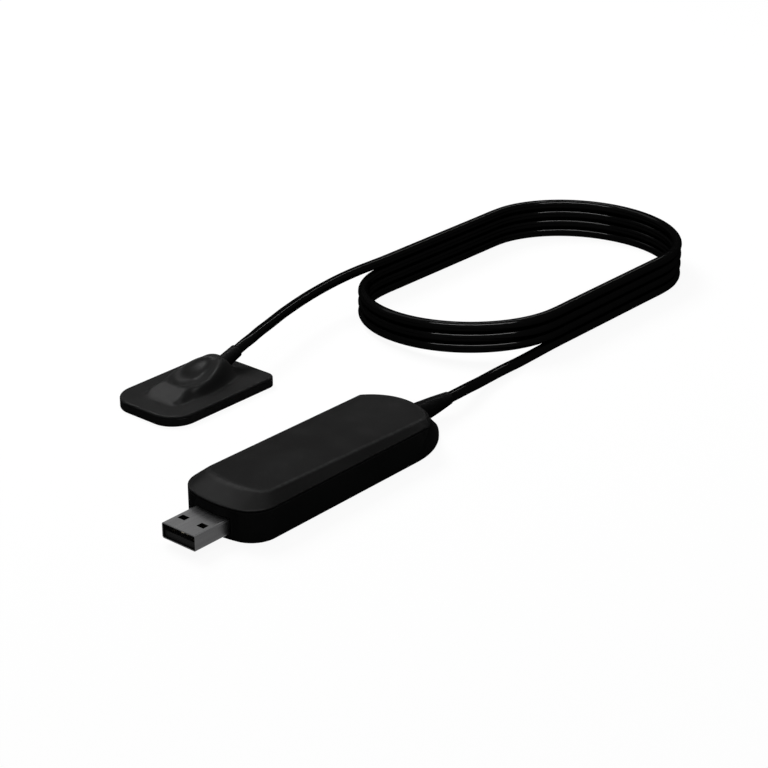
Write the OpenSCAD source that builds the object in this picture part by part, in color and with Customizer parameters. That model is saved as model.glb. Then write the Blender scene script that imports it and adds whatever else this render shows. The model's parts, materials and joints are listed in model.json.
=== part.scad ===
// Dental X-ray sensor set: a USB interface box and a flat sensor head, joined by one coiled cable.
// X is to the right of the box, Y runs from the USB plug to the cable, and Z is up.
// The origin is on the table, under the middle of the box. All sizes are in millimetres.

/* [Interface box] */
// Length of the box from its front face to the tip of its stern
box_l = 87; // [85:1:100]
// Width of the box across its side walls
box_w = 28; // [26:0.5:34]
// Height of the side walls, up to the parting line
wall_h = 8.8; // [8.6:0.1:11]
// Height of the deck above the parting line at its front end
deck_rise = 3.4; // [2.8:0.1:5]
// How far the deck falls from its front end to its rear end
deck_fall = 1.3; // [0:0.1:1.5]
// Rise of the deck's crown along its centre line
crown = 0.35; // [0.2:0.05:0.8]
// Width of the side bevels at the front of the deck
bevel_front = 3.2; // [2:0.1:4]
// Width of the side bevels at the rear of the deck
bevel_rear = 2.1; // [1.5:0.1:4]
// Length of the sloping forehead between the front face and the deck
forehead_l = 6.5; // [5:0.1:12]
// Radius of the bowed front face in plan
bow_r = 32; // [28:1:60]
// Radius of the front corners and of the stern's tip in plan
corner_r = 8; // [6:0.5:10]
// Length over which the sides taper into the stern
stern_l = 21.2; // [18:0.1:26]
// How far the parting line stops short of the stern's tip
stern_slope = 7.9; // [6:0.1:10]
// Height of the upright edge round the foot of the stern
stern_edge = 1.5; // [1:0.1:3]
// Thickness of the moulded walls
wall_t = 1.5; // [1.2:0.1:1.8]
// Thickness of the floor
floor_t = 1.3; // [1:0.1:1.3]
// Gap at the parting line between base and cover
part_gap = 0.2; // [0.1:0.05:0.3]

/* [USB plug] */
// Width of the plug's shell
plug_w = 12; // [11.9:0.05:12.1]
// Height of the plug's shell
plug_h = 4.5; // [4.4:0.05:4.6]
// Length of the plug's shell
plug_l = 18.75; // [18:0.25:20]
// How far the plug stands out of the front face
plug_reach = 11.75; // [11.75:0.25:13]
// Thickness of the plug's sheet steel
plug_sheet = 0.3; // [0.25:0.05:0.35]
// Height of the plug's axis above the table
plug_z = 4.1; // [4:0.1:5]
// Distance between the middles of the two latch holes
latch_pitch = 6.8; // [6:0.1:7]
// Thickness of the tongue that carries the contacts
tongue_t = 1.85; // [1.7:0.05:1.95]
// Width of one contact strip
contact_w = 1; // [0.8:0.1:1.2]

/* [Electronics] */
// Gap between the main board's edges and the side walls
board_gap = 0.7; // [0.5:0.1:1.5]
// Thickness of the main board
board_t = 1; // [0.8:0.1:1.2]
// Side of the image processor
processor_w = 13; // [10:1:13]
// Gap between the shield can and the cable's header
can_gap = 3.2; // [2:0.2:5]
// Height of the shield can
can_h = 2.4; // [2:0.1:3]
// Diameter of the board screws' heads
screw_head_d = 3.6; // [3:0.1:4]
// Root diameter of the board screws' threads
screw_d = 1.6; // [1.4:0.1:1.8]

/* [Sensor head] */
// Length of the sensor plate
sensor_l = 42.6; // [40:0.2:46]
// Width of the sensor plate
sensor_w = 27.2; // [26:0.2:32]
// Thickness of the sensor plate
plate_h = 3.3; // [3.3:0.1:4.5]
// Radius of the two corners at the free end
free_corner_r = 8; // [5:0.5:9]
// Radius of the two corners at the cable end
cable_corner_r = 3; // [2:0.5:5]
// Length of the hump on the back of the plate
hump_l = 33.2; // [31:0.2:34]
// Width of the hump at its foot
hump_w = 17; // [15:0.5:19]
// Height of the hump above the plate at its crest
hump_h = 6.1; // [5.8:0.1:6.8]
// Thickness of the sensor's plastic shells
shell_t = 0.8; // [0.7:0.05:0.9]
// Width of the imager
imager_w = 22; // [20:0.5:23]
// Length of the imager
imager_l = 33; // [30:0.5:35]

/* [Cable and its reliefs] */
// Diameter of the cable
cable_d = 3.3; // [3:0.1:3.3]
// Height of the cable's axis where it leaves the box
exit_z = 4.7; // [4.6:0.1:5.2]
// Length of the strain relief beyond the stern's tip
relief_out = 9.3; // [7:0.1:14]
// Diameter of the strain relief at its root
relief_d = 6.6; // [6:0.1:6.6]
// Diameter of the strain relief at its tip
relief_tip_d = 3.9; // [3.8:0.1:4.5]
// Length of the sensor's boot outside the hump
boot_l = 7.4; // [6:0.1:9]
// Diameter of the boot at its root
boot_d = 4.5; // [4.2:0.1:4.8]
// Diameter of the boot at its end
boot_tip_d = 4.1; // [3.9:0.1:4.4]
// Height of one turn of the coil above the turn below it
turn_pitch = 3.4; // [3.4:0.1:3.6]
// Number of turns that lie on each other along the coil's sides
turns = 4; // [3:1:6]
// Half the width of the coil, at the middle of the cable
coil_r = 34.6; // [30:0.2:40]
// Length of the coil's straight sides
coil_straight = 59.4; // [40:1:80]
// Length of each rounded end of the coil, at the middle of the cable
coil_end = 31.5; // [25:0.5:36]

/* [Hidden] */

// Clearance between pieces that are assembled by hand
fit = 0.1;
// Clearance round a moulded-in or pressed piece
snug = 0.05;
// Thickness of the thin slabs that the lofts run between
slab = 0.05;
edge_cut = 0.4;
front_y = -box_l / 2;
tip_y = box_l / 2;
side_y = tip_y - stern_l;
half_w = box_w / 2;
stern_r = (pow(stern_l - corner_r, 2) + pow(half_w, 2) - pow(corner_r, 2)) / (2 * (half_w - corner_r));
rim_tip_y = tip_y - stern_slope;
rim_arc_r = half_w * 1.11;
cover_z = wall_h + part_gap;
deck_front_y = front_y + forehead_l;
// The stern's slope carries on from the parting line up to the deck
deck_tip_y = rim_tip_y - stern_slope * (deck_rise - deck_fall) / (wall_h - stern_edge);
deck_tilt = atan(deck_fall / (deck_tip_y - deck_front_y));
deck_half_front = half_w - bevel_front;
deck_half_rear = half_w - bevel_rear;
deck_arc_r = deck_half_rear * 1.36;
deck_bow_r = bow_r * 0.8;
deck_corner_r = 4;
crown_r = (pow(deck_half_rear, 2) + pow(crown, 2)) / (2 * crown);
lip_t = 0.8;
lip_h = 1.2;
hook_w = 6;
hook_h = 2.6;
hook_front_set = 20;
hook_rear_set = 27.1;
hook_ys = [front_y + hook_front_set, rim_tip_y - hook_rear_set];
// The tub ends at a bulkhead, and the cable's gland is bored through the solid stern behind it
bulkhead_y = rim_tip_y - 2;

cable_r = cable_d / 2;
relief_r = relief_d / 2;
relief_tip_r = relief_tip_d / 2;
relief_tip_y = tip_y + relief_out;
relief_taper_y = tip_y - 5.5;
flange_t = 1.6;
flange_r = relief_r + 1.2;
relief_in_y = bulkhead_y - flange_t;
ring_l = 3.6;
cable_end_y = relief_in_y - ring_l - 0.4;

plug_tip_y = front_y - plug_reach;
plug_end_y = plug_tip_y + plug_l;
plug_bottom = plug_z - plug_h / 2;
tongue_w = plug_w - 2 * plug_sheet - 2 * snug;
tongue_z = plug_bottom + plug_sheet + snug;
contact_t = 0.15;
contact_xs = [-3.5, -1, 1, 3.5];
tongue_top = tongue_z + tongue_t;
board_top = tongue_top - contact_t;
board_bottom = board_top - board_t;
board_y = plug_end_y + 0.2;
board_end_y = cable_end_y - 1.3;
board_w = box_w - 2 * (wall_t + board_gap);
screw_xs = [-board_w / 2 + 2.4, board_w / 2 - 2.4];
screw_ys = [board_y + 5, board_end_y - 5];
screw_l = board_t + board_bottom - floor_t + 0.6;
post_r = 2.1;
// The bridge chip and the processor are set out from the board's front, the cable's header from its
// rear, and the shield can fills the length between the processor and the header
bridge_set = 11;
processor_set = 28;
header_set = 11;
bridge_y = board_y + bridge_set;
processor_y = board_y + processor_set;
header_y = board_end_y - header_set;
can_w = 17;
can_front_y = processor_y + processor_w / 2 + 0.8;
can_l = header_y - can_gap - can_front_y;
can_hole_d = 1;
can_hole_xs = [for (i = [-2 : 2]) i * can_w / 6];
can_hole_ys = [for (i = [1 : 3]) can_front_y + i * can_l / 4];
header_w = 10.6;
header_l = 5.4;
header_h = 3.2;
connector_l = header_l + 1.8;
connector_w = header_w - 1.6 - 2 * snug;
connector_h = header_h - 0.8 - 2 * snug;
connector_z = board_top + 0.4 + snug;
connector_end_y = header_y + 1 + snug + connector_l;
wire_r = 0.35;
wire_z = exit_z + 0.5;

sensor_x = -64.5;
sensor_y = 13.65;
tray_h = plate_h - 0.9;
tray_wall = 0.9;
roof_z = plate_h - shell_t;
// The board, the shield and the pad all clear the lid's lip by this inset from the plate's edge
stack_in = tray_wall + shell_t + 2 * fit;
front_t = 0.5;
scint_t = 0.25;
fibre_t = 0.6;
imager_t = 0.3;
sboard_t = 0.4;
lead_t = 0.2;
scint_z = front_t;
fibre_z = scint_z + scint_t;
imager_z = fibre_z + fibre_t;
sboard_z = imager_z + imager_t;
lead_z = sboard_z + sboard_t;
pad_z = lead_z + lead_t;
pad_t = roof_z - pad_z;
// The boot climbs one in three, and the cable starts at its end
boot_slope = atan(1 / 3);
boot_end = [0, 18.4, 8.4];
boot_root = boot_end - boot_l * [0, cos(boot_slope), sin(boot_slope)];
boot_neck = 2.6;
anchor_l = 2.2;
// The hump starts this far from the plate's free end
hump_y = -sensor_l / 2 + 5.6;

coil_x = -39.4;
coil_y = 141.2;

// Route of the cable from the strain relief to the coil
box_route = [[0, 52.8, 4.7], [0, 56.1, 4.7], [-0.3, 59.5, 4.5], [-1, 64, 4],
    [-1.9, 68.5, 3.3], [-2.8, 74, 2.7], [-3.5, 80, 2.3], [-3.9, 86, 2],
    [-4.2, 92, 1.7], [-4.4, 98, 1.65], [-4.6, 104, 1.65], [-4.8, 111.5, 1.65]];
// Route of the cable from the sensor's boot to the coil
sensor_route = [[-64.5, 32.05, 8.4], [-64.5, 35.05, 9.4], [-64.7, 38.5, 10.1], [-65.7, 43, 10.6],
    [-66.9, 48, 10.8], [-68.3, 53, 10.9], [-69.8, 58, 10.9], [-71.2, 63, 10.8],
    [-72.5, 68, 10.7], [-73.7, 73, 10.6], [-74.6, 78, 10.6], [-75.2, 83, 10.7],
    [-75.4, 88.5, 11], [-75.3, 94, 11.3], [-74.9, 100, 11.6], [-74.3, 106, 11.8],
    [-74, 111.5, 11.85]];

// ---- outlines in plan ----

function arc(c, r, a0, a1, n = 8) = [for (i = [0 : n]) let (a = a0 + (a1 - a0) * i / n) c + r * [cos(a), sin(a)]];

function rest(v) = [for (i = [1 : len(v) - 1]) v[i]];

// A closed outline from its right half, which runs from the front of the centre line to the rear
function both_sides(half) = concat(half, [for (i = [len(half) - 2 : -1 : 1]) [-half[i][0], half[i][1]]]);

// Right half of a bowed front end with rounded corners
function bow(hw, y, br, cr) =
    let (b = asin((hw - cr) / (br - cr)), cy = y + br - (br - cr) * cos(b))
    concat(arc([0, y + br], br, -90, b - 90, 4), rest(arc([hw - cr, cy], cr, b - 90, 0)));

// Right half of a rear end that is one shallow arc
function round_end(hw, y, r) = arc([0, y - r], r, acos(hw / r), 90, 20);

// Right half of the pointed stern with its rounded tip
function stern(hw, t) =
    let (r = stern_r - t, c = [half_w - stern_r, side_y], tip = tip_y - corner_r)
    let (a = atan2(tip - side_y, stern_r - half_w))
    concat(arc(c, r, 0, a, 12), rest(arc([0, tip], corner_r - t, a, 90)));

// Outlines of the box at its foot and at its parting line, drawn in by t. They have the same number of points.
function base_outline(t = 0) =
    both_sides(concat(bow(half_w - t, front_y + t, bow_r - t, corner_r - t), stern(half_w - t, t)));
function rim_outline(t = 0) =
    both_sides(concat(bow(half_w - t, front_y + t, bow_r - t, corner_r - t),
        round_end(half_w - t, rim_tip_y - t, rim_arc_r - t)));

module rim_plan(t = 0) {
    polygon(rim_outline(t));
}

// Solid between outlines of equal length, each with its own height
module loft(outlines, heights) {
    n = len(outlines[0]);
    top = len(outlines) - 1;
    polyhedron(
        [for (i = [0 : top]) for (p = outlines[i]) [p[0], p[1], heights[i]]],
        concat(
            [[for (k = [0 : n - 1]) k]],
            [for (i = [0 : top - 1], k = [0 : n - 1])
                let (a = i * n, b = a + n, j = (k + 1) % n)
                each [[a + k, b + k, b + j], [a + k, b + j, a + j]]],
            [[for (k = [n - 1 : -1 : 0]) top * n + k]]));
}

module deck_plan(t = 0) {
    polygon(both_sides(concat(
        bow(deck_half_front - t, deck_front_y + t, deck_bow_r - t, deck_corner_r - t),
        round_end(deck_half_rear - t, deck_tip_y - t, deck_arc_r - t))));
}

// The deck's crowned slab, hung on its front end and tilted to fall to the rear
module deck(t = 0) {
    translate([0, deck_front_y, cover_z - part_gap + deck_rise - t])
        rotate([-deck_tilt, 0, 0])
            translate([0, -deck_front_y, 0])
                intersection() {
                    linear_extrude(crown + slab) deck_plan(t);
                    translate([0, 0, crown + slab - crown_r])
                        rotate([90, 0, 0]) cylinder(r = crown_r, h = 3 * box_l, center = true, $fn = 360);
                }
}

// ---- interface box ----

module base_outer() {
    loft([base_outline(edge_cut), base_outline(), base_outline(), rim_outline()],
        [0, edge_cut, stern_edge, wall_h]);
}

module base_cavity() {
    translate([0, 0, floor_t]) linear_extrude(wall_h) intersection() {
        rim_plan(wall_t);
        translate([-half_w, front_y]) square([box_w, bulkhead_y - front_y]);
    }
}

// The gland's bore, which the strain relief's own profile fills
module gland_bore() {
    translate([0, 0, exit_z]) rotate([-90, 0, 0]) rotate_extrude($fn = 64) polygon([
        [0, bulkhead_y - 1], [relief_r + snug, bulkhead_y - 1], [relief_r + snug, relief_taper_y],
        [relief_tip_r + snug, relief_tip_y], [0, relief_tip_y]]);
}

module plug_window() {
    translate([-plug_w / 2 - fit, front_y - 1, plug_bottom - fit])
        cube([plug_w + 2 * fit, wall_t + 5, plug_h + 2 * fit]);
}

module hook_recesses() {
    for (s = [-1, 1], y = hook_ys)
        translate([s * (half_w - wall_t + 0.2) - 0.4, y - hook_w / 2 - 0.3, wall_h - hook_h])
            cube([0.8, hook_w + 0.6, 1.3]);
}

module screw_posts() {
    for (x = screw_xs, y = screw_ys)
        translate([x, y, floor_t - 0.3])
            cylinder(r = post_r, h = board_bottom - floor_t + 0.3 - snug, $fn = 32);
}

module screw_pilots() {
    for (x = screw_xs, y = screw_ys)
        translate([x, y, 0.5]) cylinder(d = screw_d + 0.1, h = board_bottom, $fn = 24);
}

// Cross ribs that stiffen the floor between the posts, short of the board
module floor_ribs() {
    for (y = [screw_ys[0] + 12 : 12 : screw_ys[1] - 8])
        translate([-half_w + wall_t - 0.3, y, floor_t - 0.3]) cube([box_w - 2 * wall_t + 0.6, 1, 1]);
}

module box_base() {
    color("#1b1b1d") difference() {
        union() {
            difference() {
                base_outer();
                base_cavity();
            }
            screw_posts();
            floor_ribs();
        }
        screw_pilots();
        plug_window();
        gland_bore();
        hook_recesses();
    }
}

module cover_lip() {
    translate([0, 0, wall_h - lip_h]) linear_extrude(lip_h + part_gap + 0.6) difference() {
        rim_plan(wall_t + fit);
        rim_plan(wall_t + fit + lip_t);
        translate([-box_w / 2, bulkhead_y - 1]) square([box_w, stern_slope + 2]);
    }
}

module cover_hooks() {
    hook_x = half_w - wall_t - fit - lip_t;
    for (s = [-1, 1], y = hook_ys)
        translate([0, y - hook_w / 2, 0]) scale([s, 1, 1]) {
            translate([hook_x - 0.15, 0, wall_h - hook_h + 0.1]) cube([lip_t + 0.1, hook_w, hook_h]);
            translate([hook_x + 0.4, 0, wall_h - hook_h + 0.2]) cube([lip_t - 0.1, hook_w, 0.9]);
        }
}

// Rib that holds the plug's shell down on the base
module plug_rib() {
    translate([-4, front_y + wall_t + 2.2, plug_bottom + plug_h + snug]) cube([8, 1.2, wall_h - plug_bottom - plug_h + 1]);
}

module box_cover() {
    color("#202022") union() {
        difference() {
            hull() {
                translate([0, 0, cover_z]) linear_extrude(0.4) rim_plan();
                deck();
            }
            hull() {
                translate([0, 0, cover_z - slab]) linear_extrude(slab) rim_plan(wall_t);
                translate([0, 0, -slab]) deck(wall_t);
            }
        }
        cover_lip();
        cover_hooks();
        plug_rib();
    }
}

// ---- USB plug ----

module rounded(w, h, r) {
    square([w - 2 * r, h], center = true);
    square([w, h - 2 * r], center = true);
    for (x = [-1, 1], y = [-1, 1]) translate([x * (w / 2 - r), y * (h / 2 - r)]) circle(r, $fn = 24);
}

module latch_holes() {
    for (x = [-1, 1])
        translate([x * latch_pitch / 2 - 1.25, plug_tip_y + 4.16, plug_bottom - 1]) cube([2.5, 2, plug_h + 2]);
}

module usb_plug_shell() {
    color("#9a9a9c") difference() {
        translate([0, plug_end_y, plug_z]) rotate([90, 0, 0]) linear_extrude(plug_l) difference() {
            rounded(plug_w, plug_h, 0.6);
            rounded(plug_w - 2 * plug_sheet, plug_h - 2 * plug_sheet, 0.3);
        }
        latch_holes();
        // the folded sheet's seam
        translate([-0.06, plug_tip_y - 1, plug_bottom - 1]) cube([0.12, plug_l + 2, 1 + 2 * plug_sheet]);
    }
}

module usb_plug_tongue() {
    block_y = plug_tip_y + 12;
    color("#151515") difference() {
        union() {
            translate([-tongue_w / 2, plug_tip_y + 0.5, tongue_z]) cube([tongue_w, plug_l - 0.5, tongue_t]);
            translate([-tongue_w / 2, block_y, tongue_z])
                cube([tongue_w, plug_end_y - block_y, plug_h - 2 * plug_sheet - 2 * snug]);
        }
        for (x = contact_xs)
            translate([x - contact_w / 2 - snug, plug_tip_y + 1, board_top])
                cube([contact_w + 2 * snug, plug_l, contact_t + snug]);
    }
}

// The two outer strips, for power, reach further forward than the two data strips
module usb_contacts() {
    color("#c9a04a") for (i = [0 : 3])
        let (lead = (i == 0 || i == 3) ? 1.2 : 2.2)
            translate([contact_xs[i] - contact_w / 2, plug_tip_y + lead, board_top])
                cube([contact_w, plug_l - lead + 2, contact_t]);
}

// ---- electronics ----

module main_board() {
    color("#1d4a2c") difference() {
        translate([-board_w / 2, board_y, board_bottom]) cube([board_w, board_end_y - board_y, board_t]);
        for (x = screw_xs, y = screw_ys)
            translate([x, y, board_bottom - 1]) cylinder(d = 2.2, h = board_t + 2, $fn = 32);
        // clipped rear corners, where the walls close in
        for (s = [-1, 1])
            translate([s * board_w / 2, board_end_y, board_bottom - 1])
                rotate([0, 0, 45]) cube([3, 3, 2 * board_t + 4], center = true);
    }
}

// A flat moulded package with gull-wing leads along two or four sides
module leaded_chip(w, l, h, count, four_sides = true) {
    translate([0, 0, 0.1 + h / 2]) cube([w, l, h], center = true);
    span = (count - 1) / 2;
    for (i = [-span : span]) {
        for (s = [-1, 1])
            translate([s * (w / 2 + 0.35), i * (l - 1) / count, 0.15]) cube([0.9, 0.25, 0.3], center = true);
        if (four_sides)
            for (s = [-1, 1])
                translate([i * (w - 1) / count, s * (l / 2 + 0.35), 0.15]) cube([0.25, 0.9, 0.3], center = true);
    }
}

module usb_bridge_chip() {
    color("#222226") translate([0, bridge_y, board_top]) leaded_chip(7, 7, 0.9, 8);
}

module image_processor() {
    color("#26262a") translate([0, processor_y, board_top]) {
        translate([-processor_w / 2, -processor_w / 2, 0]) cube([processor_w, processor_w, 0.6]);
        translate([-processor_w / 2 + 1, -processor_w / 2 + 1, 0.6 - slab])
            cube([processor_w - 2, processor_w - 2, 0.7]);
    }
}

module memory_chip() {
    color("#232326") translate([-board_w / 4, bridge_y + 0.5, board_top]) translate([-2.4, 0, 0]) {
        leaded_chip(3.4, 6, 0.9, 6, false);
    }
}

module clock_crystal() {
    color("#b9b9bb") translate([board_w / 4 + 1, bridge_y + 1.2, board_top]) {
        linear_extrude(0.3) rounded(3.6, 9, 1.7);
        translate([0, 0, 0.3 - slab]) linear_extrude(2) rounded(3, 8.4, 1.45);
    }
}

module power_inductor() {
    color("#3a3a3c") translate([-board_w / 4 - 2, processor_y - processor_w / 2 - 3.2, board_top]) {
        translate([-2.5, -2.5, 0]) cube([5, 5, 1.2]);
        translate([0, 0, 1.2 - slab]) cylinder(d = 4.6, h = 1.4, $fn = 32);
    }
}

// Two rows of chip resistors and capacitors beside the processor
module board_passives() {
    color("#8a7a5c") for (s = [-1, 1], i = [0 : 5])
        translate([s * (processor_w / 2 + 1.9), processor_y - 5 + 2 * i + 1.2, board_top]) {
            translate([-0.8, -0.4, 0]) cube([1.6, 0.8, 0.7]);
            for (e = [-1, 1]) translate([e * 0.65 - 0.18, -0.44, 0]) cube([0.36, 0.88, 0.74]);
        }
}

module shield_can() {
    color("#a8a8aa") difference() {
        translate([-can_w / 2, can_front_y, board_top]) cube([can_w, can_l, can_h]);
        translate([-can_w / 2 + 0.2, can_front_y + 0.2, board_top - 1])
            cube([can_w - 0.4, can_l - 0.4, can_h + 0.8]);
        for (x = can_hole_xs, y = can_hole_ys)
            translate([x, y, board_top + can_h - 1]) cylinder(d = can_hole_d, h = 2, $fn = 24);
    }
}

// ---- cable entry of the box ----

module cable_header() {
    color("#e6e2d6") translate([-header_w / 2, header_y, board_top]) {
        difference() {
            cube([header_w, header_l, header_h]);
            translate([0.8, 1, 0.4]) cube([header_w - 1.6, header_l, header_h - 0.8]);
        }
        for (i = [0 : 5])
            translate([header_w / 2 - 3.75 + 1.5 * i - 0.15, 1 - slab, header_h / 2 - 0.15]) cube([0.3, 2, 0.3]);
    }
}

module cable_connector() {
    color("#d8d4c8") difference() {
        translate([-connector_w / 2, header_y + 1 + snug, connector_z]) cube([connector_w, connector_l, connector_h]);
        for (i = [0 : 5])
            translate([-3.75 + 1.5 * i - 0.25, header_y, board_top + header_h / 2 - 0.25]) cube([0.5, 3.6, 0.5]);
    }
}

module lead_wires() {
    color("#b04030") for (i = [0 : 3])
        translate([(i - 1.5) * 0.8, connector_end_y, wire_z])
            rotate([-90, 0, 0]) cylinder(r = wire_r, h = cable_end_y - connector_end_y, $fn = 16);
}

module board_screws() {
    color("#8f8f92") for (x = screw_xs, y = screw_ys) translate([x, y, board_top]) difference() {
        union() {
            cylinder(d = screw_head_d, h = 1.1, $fn = 32);
            translate([0, 0, -screw_l]) cylinder(d = screw_d, h = screw_l + slab, $fn = 24);
        }
        for (a = [0, 90]) rotate([0, 0, a]) translate([0, 0, 0.9]) cube([2, 0.4, 0.8], center = true);
    }
}

// Half profile of the strain relief: flange inside the bulkhead, neck in the gland, taper outside
module box_strain_relief() {
    color("#161617") difference() {
        translate([0, 0, exit_z]) rotate([-90, 0, 0]) rotate_extrude($fn = 64) polygon([
            [cable_r, relief_in_y], [flange_r, relief_in_y], [flange_r, bulkhead_y - snug],
            [relief_r, bulkhead_y - snug], [relief_r, relief_taper_y],
            [relief_tip_r, relief_tip_y - 0.3], [relief_tip_r - 0.25, relief_tip_y], [cable_r, relief_tip_y]]);
        // the flange is trimmed flat where it stands on the floor and under the cover
        translate([-box_w / 2, relief_in_y - 1, floor_t - 5 + snug]) cube([box_w, flange_t + 1, 5]);
        translate([-box_w / 2, relief_in_y - 1, wall_h - lip_h - snug]) cube([box_w, flange_t + 1, 5]);
    }
}

module box_cable_end() {
    color("#0c0c0d") translate([0, cable_end_y, exit_z])
        rotate([-90, 0, 0]) cylinder(r = cable_r, h = relief_tip_y - cable_end_y, $fn = 32);
}

module crimp_ring() {
    color("#b0b0b2") translate([0, relief_in_y - ring_l, exit_z]) rotate([-90, 0, 0]) difference() {
        cylinder(r = cable_r + 0.7, h = ring_l - snug, $fn = 32);
        translate([0, 0, -1]) cylinder(r = cable_r, h = ring_l + 2, $fn = 32);
    }
}

// ---- sensor head ----

module at_sensor() {
    translate([sensor_x, sensor_y, 0]) children();
}

module sensor_plan(t = 0) {
    hull() for (s = [-1, 1]) {
        translate([s * (sensor_w / 2 - free_corner_r), free_corner_r - sensor_l / 2]) circle(free_corner_r - t, $fn = 64);
        translate([s * (sensor_w / 2 - max(cable_corner_r, t + 0.5)), sensor_l / 2 - max(cable_corner_r, t + 0.5)])
            circle(max(cable_corner_r - t, 0.5), $fn = 32);
    }
}

// Tray that faces the film side: thin floor, walls up to the parting line
module sensor_front_cover() {
    color("#1c1c1e") at_sensor() difference() {
        hull() {
            linear_extrude(slab) sensor_plan(0.3);
            translate([0, 0, 0.3]) linear_extrude(tray_h - 0.3) sensor_plan();
        }
        translate([0, 0, front_t]) linear_extrude(plate_h) sensor_plan(tray_wall);
    }
}

module stack_layer(w, l, z, t) {
    at_sensor() translate([-w / 2, -l / 2, z]) cube([w, l, t]);
}

module scintillator() {
    color("#e8e4d0") stack_layer(imager_w, imager_l, scint_z, scint_t);
}

module fibre_plate() {
    color("#c8d4d8", 0.6) stack_layer(imager_w, imager_l, fibre_z, fibre_t);
}

module imager_chip() {
    color("#4a4658") stack_layer(imager_w, imager_l, imager_z, imager_t);
}

module sensor_board() {
    color("#1d4a2c") at_sensor() translate([0, 0, sboard_z]) linear_extrude(sboard_t) sensor_plan(stack_in);
}

// Window through the shield and the pad for the flex lead
module flex_window(z, t) {
    at_sensor() translate([-3.4, 0.6, z - 1]) cube([6.8, 4.4, t + 2]);
}

module lead_shield() {
    color("#6a6c70") difference() {
        at_sensor() translate([0, 0, lead_z]) linear_extrude(lead_t) sensor_plan(stack_in);
        flex_window(lead_z, lead_t);
    }
}

module shock_pad() {
    color("#39393b") difference() {
        at_sensor() translate([0, 0, pad_z]) linear_extrude(pad_t - snug) sensor_plan(stack_in + 0.5);
        flex_window(pad_z, pad_t);
    }
}

// ---- hump of the back shell ----

// Sections of the hump, from its foot at the free end to its foot behind the boot. Each row holds
// the place along the hump and, as shares of the width and height: foot, crest, crest height, floor height
hump_rows = [
    [0, 0.3, 0.1, -0.03, -0.03],
    [0.042, 0.62, 0.45, 0.03, 0.03],
    [0.102, 0.84, 0.7, 0.16, 0.16],
    [0.163, 0.93, 0.68, 0.3, 0.3],
    [0.21, 0.965, 0.57, 0.42, 0.42],
    [0.245, 0.98, 0.48, 0.48, 0.47],
    [0.29, 0.99, 0.56, 0.48, 0.34],
    [0.343, 1, 0.68, 0.5, 0.2],
    [0.404, 1, 0.75, 0.55, 0.16],
    [0.503, 0.98, 0.75, 0.65, 0.2],
    [0.584, 0.945, 0.66, 0.79, 0.36],
    [0.645, 0.915, 0.56, 0.89, 0.57],
    [0.705, 0.875, 0.42, 0.97, 0.84],
    [0.75, 0.85, 0.3, 1, 0.98],
    [0.795, 0.81, 0.22, 0.93, 0.93],
    [0.84, 0.77, 0.2, 0.74, 0.74],
    [0.886, 0.7, 0.18, 0.46, 0.46],
    [0.931, 0.6, 0.16, 0.2, 0.2],
    [0.97, 0.45, 0.12, 0.05, 0.05],
    [1, 0.28, 0.06, -0.03, -0.03]];

// Smooth reading of one column of the rows at place t
function row_at(t, i = 0) = (i >= len(hump_rows) - 2 || t <= hump_rows[i + 1][0]) ? i : row_at(t, i + 1);
function slope(i, c) =
    let (a = hump_rows[max(i - 1, 0)], b = hump_rows[min(i + 1, len(hump_rows) - 1)]) (b[c] - a[c]) / (b[0] - a[0]);
function column(t, c) =
    let (i = row_at(t), a = hump_rows[i], b = hump_rows[i + 1], w = b[0] - a[0], s = (t - a[0]) / w)
    a[c] * (2 * s * s * s - 3 * s * s + 1) + b[c] * (3 * s * s - 2 * s * s * s)
        + w * slope(i, c) * (s * s * s - 2 * s * s + s) + w * slope(i + 1, c) * (s * s * s - s * s);
function ease(s) = s * s * (3 - 2 * s);

// Height of the hump above the plate at place t and share s of the foot's half width
function hump_z(t, s) =
    let (foot = column(t, 1), crest = column(t, 2) / foot, top = column(t, 3), low = column(t, 4), a = abs(s))
    a < crest ? low + (top - low) * ease(a / crest) : (top + 0.03) * (1 - ease((a - crest) / (1 - crest))) - 0.03;

// Solid hump, drawn in by t, with n steps along it and m steps across it
module hump(t = 0, n = 40, m = 28) {
    rows = [for (i = [0 : n]) let (k = i / n)
        [for (j = [0 : m]) let (s = 2 * j / m - 1) [
            s * (column(k, 1) * hump_w / 2 - t),
            hump_y + t + k * (hump_l - 2 * t),
            plate_h + hump_z(k, s) * hump_h - t]]];
    base = plate_h - 0.5 - t;
    top = [for (r = rows) for (p = r) p];
    rim = concat([for (j = [0 : m]) rows[0][j]], [for (i = [1 : n]) rows[i][m]],
        [for (j = [m - 1 : -1 : 0]) rows[n][j]], [for (i = [n - 1 : -1 : 1]) rows[i][0]]);
    q = len(top);
    c = len(rim);
    rim_id = concat([for (j = [0 : m]) j], [for (i = [1 : n]) i * (m + 1) + m],
        [for (j = [m - 1 : -1 : 0]) n * (m + 1) + j], [for (i = [n - 1 : -1 : 1]) i * (m + 1)]);
    faces = concat(
        [for (i = [0 : n - 1], j = [0 : m - 1]) let (a = i * (m + 1) + j) [a, a + m + 1, a + 1]],
        [for (i = [0 : n - 1], j = [0 : m - 1]) let (a = i * (m + 1) + j) [a + 1, a + m + 1, a + m + 2]],
        [for (i = [0 : c - 1]) [rim_id[i], rim_id[(i + 1) % c], q + (i + 1) % c, q + i]],
        [[for (i = [0 : c - 1]) q + i]]);
    polyhedron(concat(top, [for (p = rim) [p[0], p[1], base]]), faces);
}

module at_boot() {
    translate(boot_root) rotate([boot_slope - 90, 0, 0]) children();
}

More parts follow.
